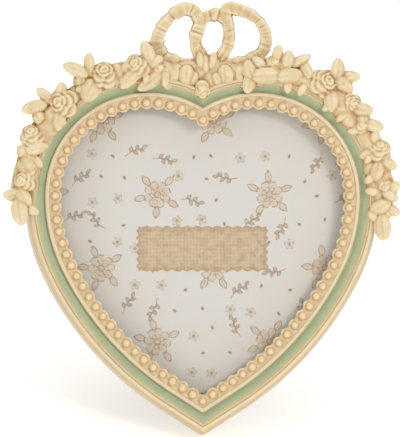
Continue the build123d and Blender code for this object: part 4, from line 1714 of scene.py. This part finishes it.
@dataclass
class RibbonBow:
    """Crimped ribbon bow with three loops, a knot, leaves and a hanging bud, cast in one."""

    loops: tuple[Loop, ...] = (
        Loop(
            (
                (-0.7, 6.8), (-6.9, 7.0), (-12.7, 8.6), (-15.8, 12.2), (-16.2, 16.4), (-14.2, 20.6),
                (-10.7, 24.5), (-6.2, 26.8), (-2.6, 25.6), (-1.0, 21.3), (-2.7, 16.4), (-2.8, 13.3),
                (-0.9, 9.3),
            ),
            4.5, 8.2, 5,
        ),
        Loop(
            (
                (3.3, 6.8), (9.9, 7.0), (17.0, 8.4), (21.1, 10.9), (22.6, 14.6), (22.3, 18.6), (20.2, 22.3),
                (16.6, 25.0), (12.6, 26.3), (8.9, 27.0), (8.0, 24.0), (9.2, 21.3), (9.8, 16.8), (8.9, 13.3),
                (6.4, 9.3),
            ),
            4.4, 8.0, 8,
        ),
        Loop(
            (
                (-0.9, 21.3), (1.5, 24.2), (5.3, 24.6), (8.6, 22.4), (9.6, 17.3), (8.6, 13.3), (5.5, 8.6),
                (1.5, 8.8), (-2.5, 13.3), (-2.5, 17.3),
            ),
            4.0, 7.5, 12,
        ),
    )
    depth: float = 3.2
    knot: tuple[float, float] = (1.6, 6.6)
    knot_reach: float = 7.0
    creases: int = 14
    crease_width: float = 0.3
    roll: float = 15.0
    root: Egg = Egg(2.0, 3.0, 7.8, (17.0, 5.2, 3.2), 0.0)
    knobs: tuple[Egg, ...] = (
        Egg(0.9, 6.6, 9.7, (3.6, 1.9, 2.1), 94.0), Egg(4.7, 6.0, 9.4, (3.0, 1.5, 2.0), 80.0),
        Egg(-20.2, 12.2, 7.6, (3.0, 2.0, 1.3), 82.0),
    )
    # Leaves round the knot, as place over the dip, length, width, heading and height
    trims: tuple[tuple[float, float, float, float, float, float], ...] = (
        (-5.7, 6.6, 8.4, 5.6, -92.0, 11.4), (7.8, 6.6, 8.4, 6.0, -90.0, 11.4),
        (-11.2, 5.6, 8.2, 5.6, -100.0, 11.1), (13.0, 5.6, 7.6, 5.2, -72.0, 11.1),
        (-2.4, 4.0, 6.0, 4.2, -120.0, 11.0), (4.0, 3.6, 6.0, 4.2, -62.0, 11.0),
        (-0.6, 4.6, 6.8, 3.4, 98.0, 10.2), (2.8, 4.6, 6.8, 3.4, 76.0, 10.2),
    )
    # Folds that fan out from the knot: their headings, length, width and height
    fold_ways: tuple[float, ...] = (176.0, 190.0, 204.0, 218.0, 4.0, -10.0, -24.0, -38.0)
    fold_size: tuple[float, float, float] = (11.5, 4.2, 9.9)
    bud: Egg = Egg(-0.3, -2.3, 11.8, (3.5, 2.8, 1.8), 90.0)
    # Diameter and height of the rose on the bud
    bud_rose: tuple[float, float] = (5.8, 12.9)
    grain: float = 0.2

    def loop_shell(self, loop: Loop) -> Shell:
        """One loop of ribbon: a flat section with soft edges carried along a smooth closed line.

        The section's width and depth are shaken along the ribbon, sharp creases pinch it at seeded
        places, soft folds run along it near the knot, and it rolls a little about its path.

        Args:
            loop: the loop.

        Returns:
            Its skin.
        """
        dice = np.random.default_rng(loop.seed)
        path = closed_curve(np.array(loop.middle), 280, 0.9)
        step = np.roll(path, -1, axis=0) - np.roll(path, 1, axis=0)
        pace = np.linalg.norm(step, axis=1, keepdims=True)
        outward = np.stack([step[:, 1], -step[:, 0]], axis=-1) / pace
        lap = np.cumsum(pace / 2, axis=0)
        girth = float(lap[-1, 0])
        pinch = np.zeros_like(lap)
        for at, deep in zip(dice.uniform(0, girth, self.creases), dice.uniform(0.3, 1.0, self.creases)):
            away = np.abs((lap - at + girth / 2) % girth - girth / 2)
            pinch = pinch + deep * np.exp(-((away / self.crease_width) ** 2))
        pinch = np.clip(pinch, 0, 1.2)
        flat = np.stack([path[:, 0], path[:, 1], 0 * path[:, 0]], -1)
        swell = ripple(flat, 6.5, loop.seed + 1)[:, None]
        ruck = ripple(flat, 3.0, loop.seed + 2)[:, None]
        crimp = ripple(flat, 1.3, loop.seed + 3)[:, None]
        angle = np.linspace(0, 2 * math.pi, 44, endpoint=False)[None, :]
        across = np.sign(np.cos(angle)) * np.abs(np.cos(angle)) ** 0.42
        proud = np.sign(np.sin(angle)) * np.abs(np.sin(angle)) ** 0.38
        half = loop.width / 2 * (1 + 0.11 * swell + 0.09 * ruck - 0.12 * pinch)
        lift = self.depth / 2 * (1 + 0.05 * swell + 0.09 * ruck + 0.025 * crimp - 0.26 * pinch)
        from_knot = np.linalg.norm(path - np.array(self.knot), axis=1)[:, None]
        near = np.exp(-((from_knot / self.knot_reach) ** 2))
        folds = 0.45 * near * np.cos(across * 2.4 * math.pi + 0.3 * loop.seed) * np.abs(proud)
        wide = half * (1 - 0.2 * near) * across
        tall = (lift + folds) * proud
        roll = np.radians(self.roll) * np.sin(lap / girth * 4 * math.pi + loop.seed) * (1 - near)
        out = wide * np.cos(roll) - tall * np.sin(roll)
        rise = wide * np.sin(roll) + tall * np.cos(roll)
        x = path[:, :1] + outward[:, :1] * out
        z = HEART.cusp_z + path[:, 1:] + outward[:, 1:] * out
        return skin(np.stack([x, loop.height + rise, z], axis=-1), endless=True)

    def foot(self) -> list[Shell]:
        """The root under the loops: an egg across the dip and a bed on the start of each lobe.

        Returns:
            Their skins.
        """
        beds = [
            RoseSpray(
                "ribbon_bow", side, 95.0, 114.0, (), bed_height=8.4, bed_half=(4.7, 3.4), bed_over=(2.0, 2.0)
            ).bed()
            for side in (-1, 1)
        ]
        return [self.root.shell(), *beds]

    def leaves(self) -> list[Shell]:
        """Leaves round the knot, and folds that fan out from it, each rolled a little otherwise.

        Returns:
            Their skins.
        """
        found = []
        for number, (x, up, length, width, heading, height) in enumerate(self.trims):
            rings = leaf_rings(length, width, 10.0 * math.sin(1.9 * number), 0.6, 0.16)
            found.append(skin(set_on_face(rings, x, HEART.cusp_z + up, height, heading)))
        length, width, height = self.fold_size
        z = HEART.cusp_z + self.knot[1] - 1.0
        for number, heading in enumerate(self.fold_ways):
            rings = leaf_rings(length, width, 14.0 * math.sin(2.7 * number), 0.2, 0.0)
            found.append(skin(set_on_face(rings, self.knot[0], z, height, heading)))
        return found

    def build(self) -> Any:
        """Join loops, root, knot, leaves and bud in one cast.

        Returns:
            The object, with the attributes that cast gives it.
        """
        shells = [self.loop_shell(loop) for loop in self.loops]
        shells += self.foot()
        shells += [knob.shell() for knob in self.knobs]
        shells += self.leaves()
        across, height = self.bud_rose
        rose = rose_rings(across, 20.0, 20.0, 90.0)
        shells.append(self.bud.shell())
        shells.append(skin(set_on_face(rose, self.bud.x, HEART.cusp_z + self.bud.up, height, 0.0)))
        return cast("ribbon_bow_cast", shells, self.grain)

    def dress(self, coat: Any) -> None:
        """Build the bow and give it its aged cream."""
        hand_over(self.build(), coat, "ribbon_bow")


# The stay ribbon and the studio


@dataclass
class StayRibbon:
    """Taut ribbon from the back board to the open leg."""

    width: float = 10.0
    thickness: float = 0.4
    tab: float = 8.0
    hinge_drop: float = 21.4
    pin_back: float = 3.2
    leg_gap: float = 1.6
    board_drop: float = 50.0
    leg_drop: float = 40.0
    open_angle: float = 32.5
    rows: int = 90
    columns: int = 13

    @property
    def hinge_height(self) -> float:
        """Height of the pin on the face, below the dip between the lobes."""
        return HEART.cusp_z - self.hinge_drop

    def swung(self, back: float, z: float) -> tuple[float, float]:
        """A place on the folded leg, as back and z, turned about the pin to the open leg.

        Args:
            back: distance behind the moulding's rear.
            z: height on the face.

        Returns:
            Its back and z on the open leg.
        """
        turn = math.radians(self.open_angle)
        y, up = back - self.pin_back, z - self.hinge_height
        return (
            self.pin_back + y * math.cos(turn) - up * math.sin(turn),
            self.hinge_height + y * math.sin(turn) + up * math.cos(turn),
        )

    def route(self) -> Array:
        """Places (back, z) of the ribbon's middle: tab on the board, taut span, tab on the leg.

        Returns:
            The four places, from the board to the leg.
        """
        half = self.thickness / 2
        board_end = self.hinge_height - self.board_drop
        leg_end = self.hinge_height - self.leg_drop
        on_leg = [self.swung(self.leg_gap - half, z) for z in (leg_end, leg_end - self.tab)]
        return np.array([(half, board_end - self.tab), (half, board_end), *on_leg])

    def build(self) -> Any:
        """Carry a thin section with rounded edges along the route, mitred at its bends.

        Returns:
            The object, on no body, with attributes run and wide.
        """
        route = self.route()
        legs = np.linalg.norm(np.diff(route, axis=0), axis=1)
        length = np.concatenate([[0.0], np.cumsum(legs)])
        run = np.unique(np.concatenate([np.linspace(0, length[-1], self.rows), length]))
        line = np.stack([np.interp(run, length, route[:, k]) for k in (0, 1)], axis=-1)
        slope = np.gradient(line, run, axis=0)
        slope /= np.linalg.norm(slope, axis=1, keepdims=True)
        normal = np.stack([slope[:, 1], -slope[:, 0]], axis=-1)
        across = np.linspace(-1, 1, self.columns)
        wide = np.concatenate([across, across[::-1]])
        side = np.repeat([1.0, -1.0], self.columns)
        half = self.thickness / 2 * (1 - 0.4 * np.abs(wide) ** 8)
        back = line[:, :1] + normal[:, :1] * (side * half)
        z = line[:, 1:] + normal[:, 1:] * (side * half)
        x = np.broadcast_to(wide * self.width / 2, back.shape)
        shell = skin(np.stack([x, -back, z], axis=-1))
        runs = np.concatenate([np.repeat(run, 2 * self.columns), [0.0, length[-1]]])
        edges = np.concatenate([np.tile(np.abs(wide), len(run)), [0.0, 0.0]])
        piece = make_piece("stay_ribbon_satin", shell, {"run": runs, "wide": edges}, crease=50.0)
        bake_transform(piece)
        return piece

    def dress(self) -> None:
        """Build the ribbon and weave it."""
        hand_over(self.build(), SatinWeave().material(), "stay_ribbon", None)


@dataclass(frozen=True)
class RearFittings:
    """Glass, board, leg and metalwork: parts that keep the CAD's own shape and only get a finish."""

    glass: tuple[str, ...] = ("glass_pane",)
    board: tuple[str, ...] = ("back_board", "easel_leg")
    steel: tuple[str, ...] = (
        "turn_button_upper_left", "turn_button_upper_right", "turn_button_lower_left",
        "turn_button_lower_right", "turn_button_screws", "hinge_bracket", "hinge_strap", "hinge_pin",
        "bracket_rivets", "strap_rivets", "stay_staple_board", "stay_staple_leg",
    )

    def dress(self, nodes: Any) -> None:
        """Give each of the CAD's nodes its finish.

        Args:
            nodes: the CAD's objects, by name.
        """
        finishes = ((FloatGlass(), self.glass), (FlockedBoard(), self.board), (PlatedSteel(), self.steel))
        for finish, names in finishes:
            coat = finish.material()
            for name in names:
                nodes[name].data.materials.clear()
                nodes[name].data.materials.append(coat)
            log.info("%s on %d CAD nodes", finish.title, len(names))


@dataclass(frozen=True)
class Lamp:
    """A soft round light: its name, its direction in the row frame, its width in metres and its power."""

    name: str
    toward: tuple[float, float, float]
    size: float
    power: float


@dataclass
class Studio:
    """White paper floor, three soft lights, a bright room and the camera almost square to the face."""

    view_centre: tuple[float, float, float] = (-0.95, 8.0, 77.96)
    yaw: float = -1.6
    frame_height: float = 155.1
    distance: float = 900.0
    sensor: float = 36.0
    floor_size: float = 6.0
    room: float = 0.46
    room_tint: tuple[float, float, float, float] = (1.0, 0.995, 0.985, 1.0)
    lamps: tuple[Lamp, ...] = (
        Lamp("key_right", (0.56, -0.78, 0.68), 0.26, 2.75),
        Lamp("side_left", (-0.9, -0.42, 0.34), 0.4, 1.4),
        Lamp("top", (0.05, 0.1, 1.0), 1.1, 4.0),
    )

    def aim(self, thing: Any, at: Array, target: Array) -> None:
        """Put a light or the camera at a place and turn it to a target, with the face's up kept up.

        Args:
            thing: the light or the camera.
            at: its place, in metres.
            target: the place that it looks at, in metres.
        """
        back = (at - target) / np.linalg.norm(at - target)
        foot, head = FACE.stand(np.array([[0.0, 0.0, 10.0], [0.0, 0.0, 100.0]]))
        up = head - foot
        right = np.cross(up, back)
        right /= np.linalg.norm(right)
        upright = np.cross(back, right)
        rows = np.column_stack([right, upright, back, at])
        thing.matrix_world = Matrix([*rows.tolist(), (0.0, 0.0, 0.0, 1.0)])

    def light(self, lamp: Lamp) -> None:
        """Add a soft light a metre away from the middle of the view.

        Args:
            lamp: the light.
        """
        glow = bpy.data.lights.new(lamp.name, "AREA")
        glow.shape = "DISK"
        glow.size = lamp.size
        glow.energy = lamp.power
        thing = bpy.data.objects.new(lamp.name, glow)
        bpy.context.scene.collection.objects.link(thing)
        target = FACE.stand(np.array(self.view_centre))
        way = np.array(lamp.toward) / np.linalg.norm(lamp.toward)
        self.aim(thing, target + way, target)

    def build(self, paper: Any) -> None:
        """Lay the floor, hang the lights, set the room's light and place the camera.

        Args:
            paper: the floor's material.
        """
        span = self.floor_size / 2
        mesh = bpy.data.meshes.new("studio_floor")
        square = [(-span, -span, 0.0), (span, -span, 0.0), (span, span, 0.0), (-span, span, 0.0)]
        mesh.from_pydata(square, [], [(0, 1, 2, 3)])
        mesh.materials.append(paper)
        floor = bpy.data.objects.new("studio_floor", mesh)
        bpy.context.scene.collection.objects.link(floor)
        floor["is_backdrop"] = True
        for lamp in self.lamps:
            self.light(lamp)
        world = bpy.data.worlds.new("white_room")
        world.use_nodes = True
        sky = world.node_tree.nodes["Background"]
        sky.inputs["Color"].default_value = self.room_tint
        sky.inputs["Strength"].default_value = self.room
        scene = bpy.context.scene
        scene.world = world
        scene.view_settings.view_transform = "Standard"
        lens = bpy.data.cameras.new("photo_camera")
        lens.sensor_width = self.sensor
        lens.lens = self.sensor * self.distance / self.frame_height
        camera = bpy.data.objects.new("photo_camera", lens)
        scene.collection.objects.link(camera)
        turn = math.radians(self.yaw)
        away = self.distance * np.array([math.sin(turn), math.cos(turn), 0.0])
        centre = np.array(self.view_centre)
        self.aim(camera, FACE.stand(centre + away), FACE.stand(centre))
        scene.camera = camera


def corners(box: Any) -> list[list[float]]:
    """A box as two plain lists of numbers."""
    return [[float(value) for value in corner] for corner in box]


def main() -> None:
    """Load the frame, build and dress every sub-assembly, and measure the sizes without keeping them."""
    logging.basicConfig(level=logging.INFO, format="%(name)s: %(message)s")
    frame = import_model()
    cad_box = corners(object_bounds())
    pearls = PearlCourse()
    Moulding().dress(pearls.spots())
    pearls.dress()
    PictureInsert().dress()
    cream = AgedCream().material()
    for spray in SPRAYS:
        spray.dress(cream)
    RibbonBow().dress(cream)
    StayRibbon().dress()
    RearFittings().dress(frame["nodes"])
    Studio().build(StudioPaper().material())
    {"cad": cad_box, "visual": corners(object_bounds())}


if __name__ == "__main__":
    main()
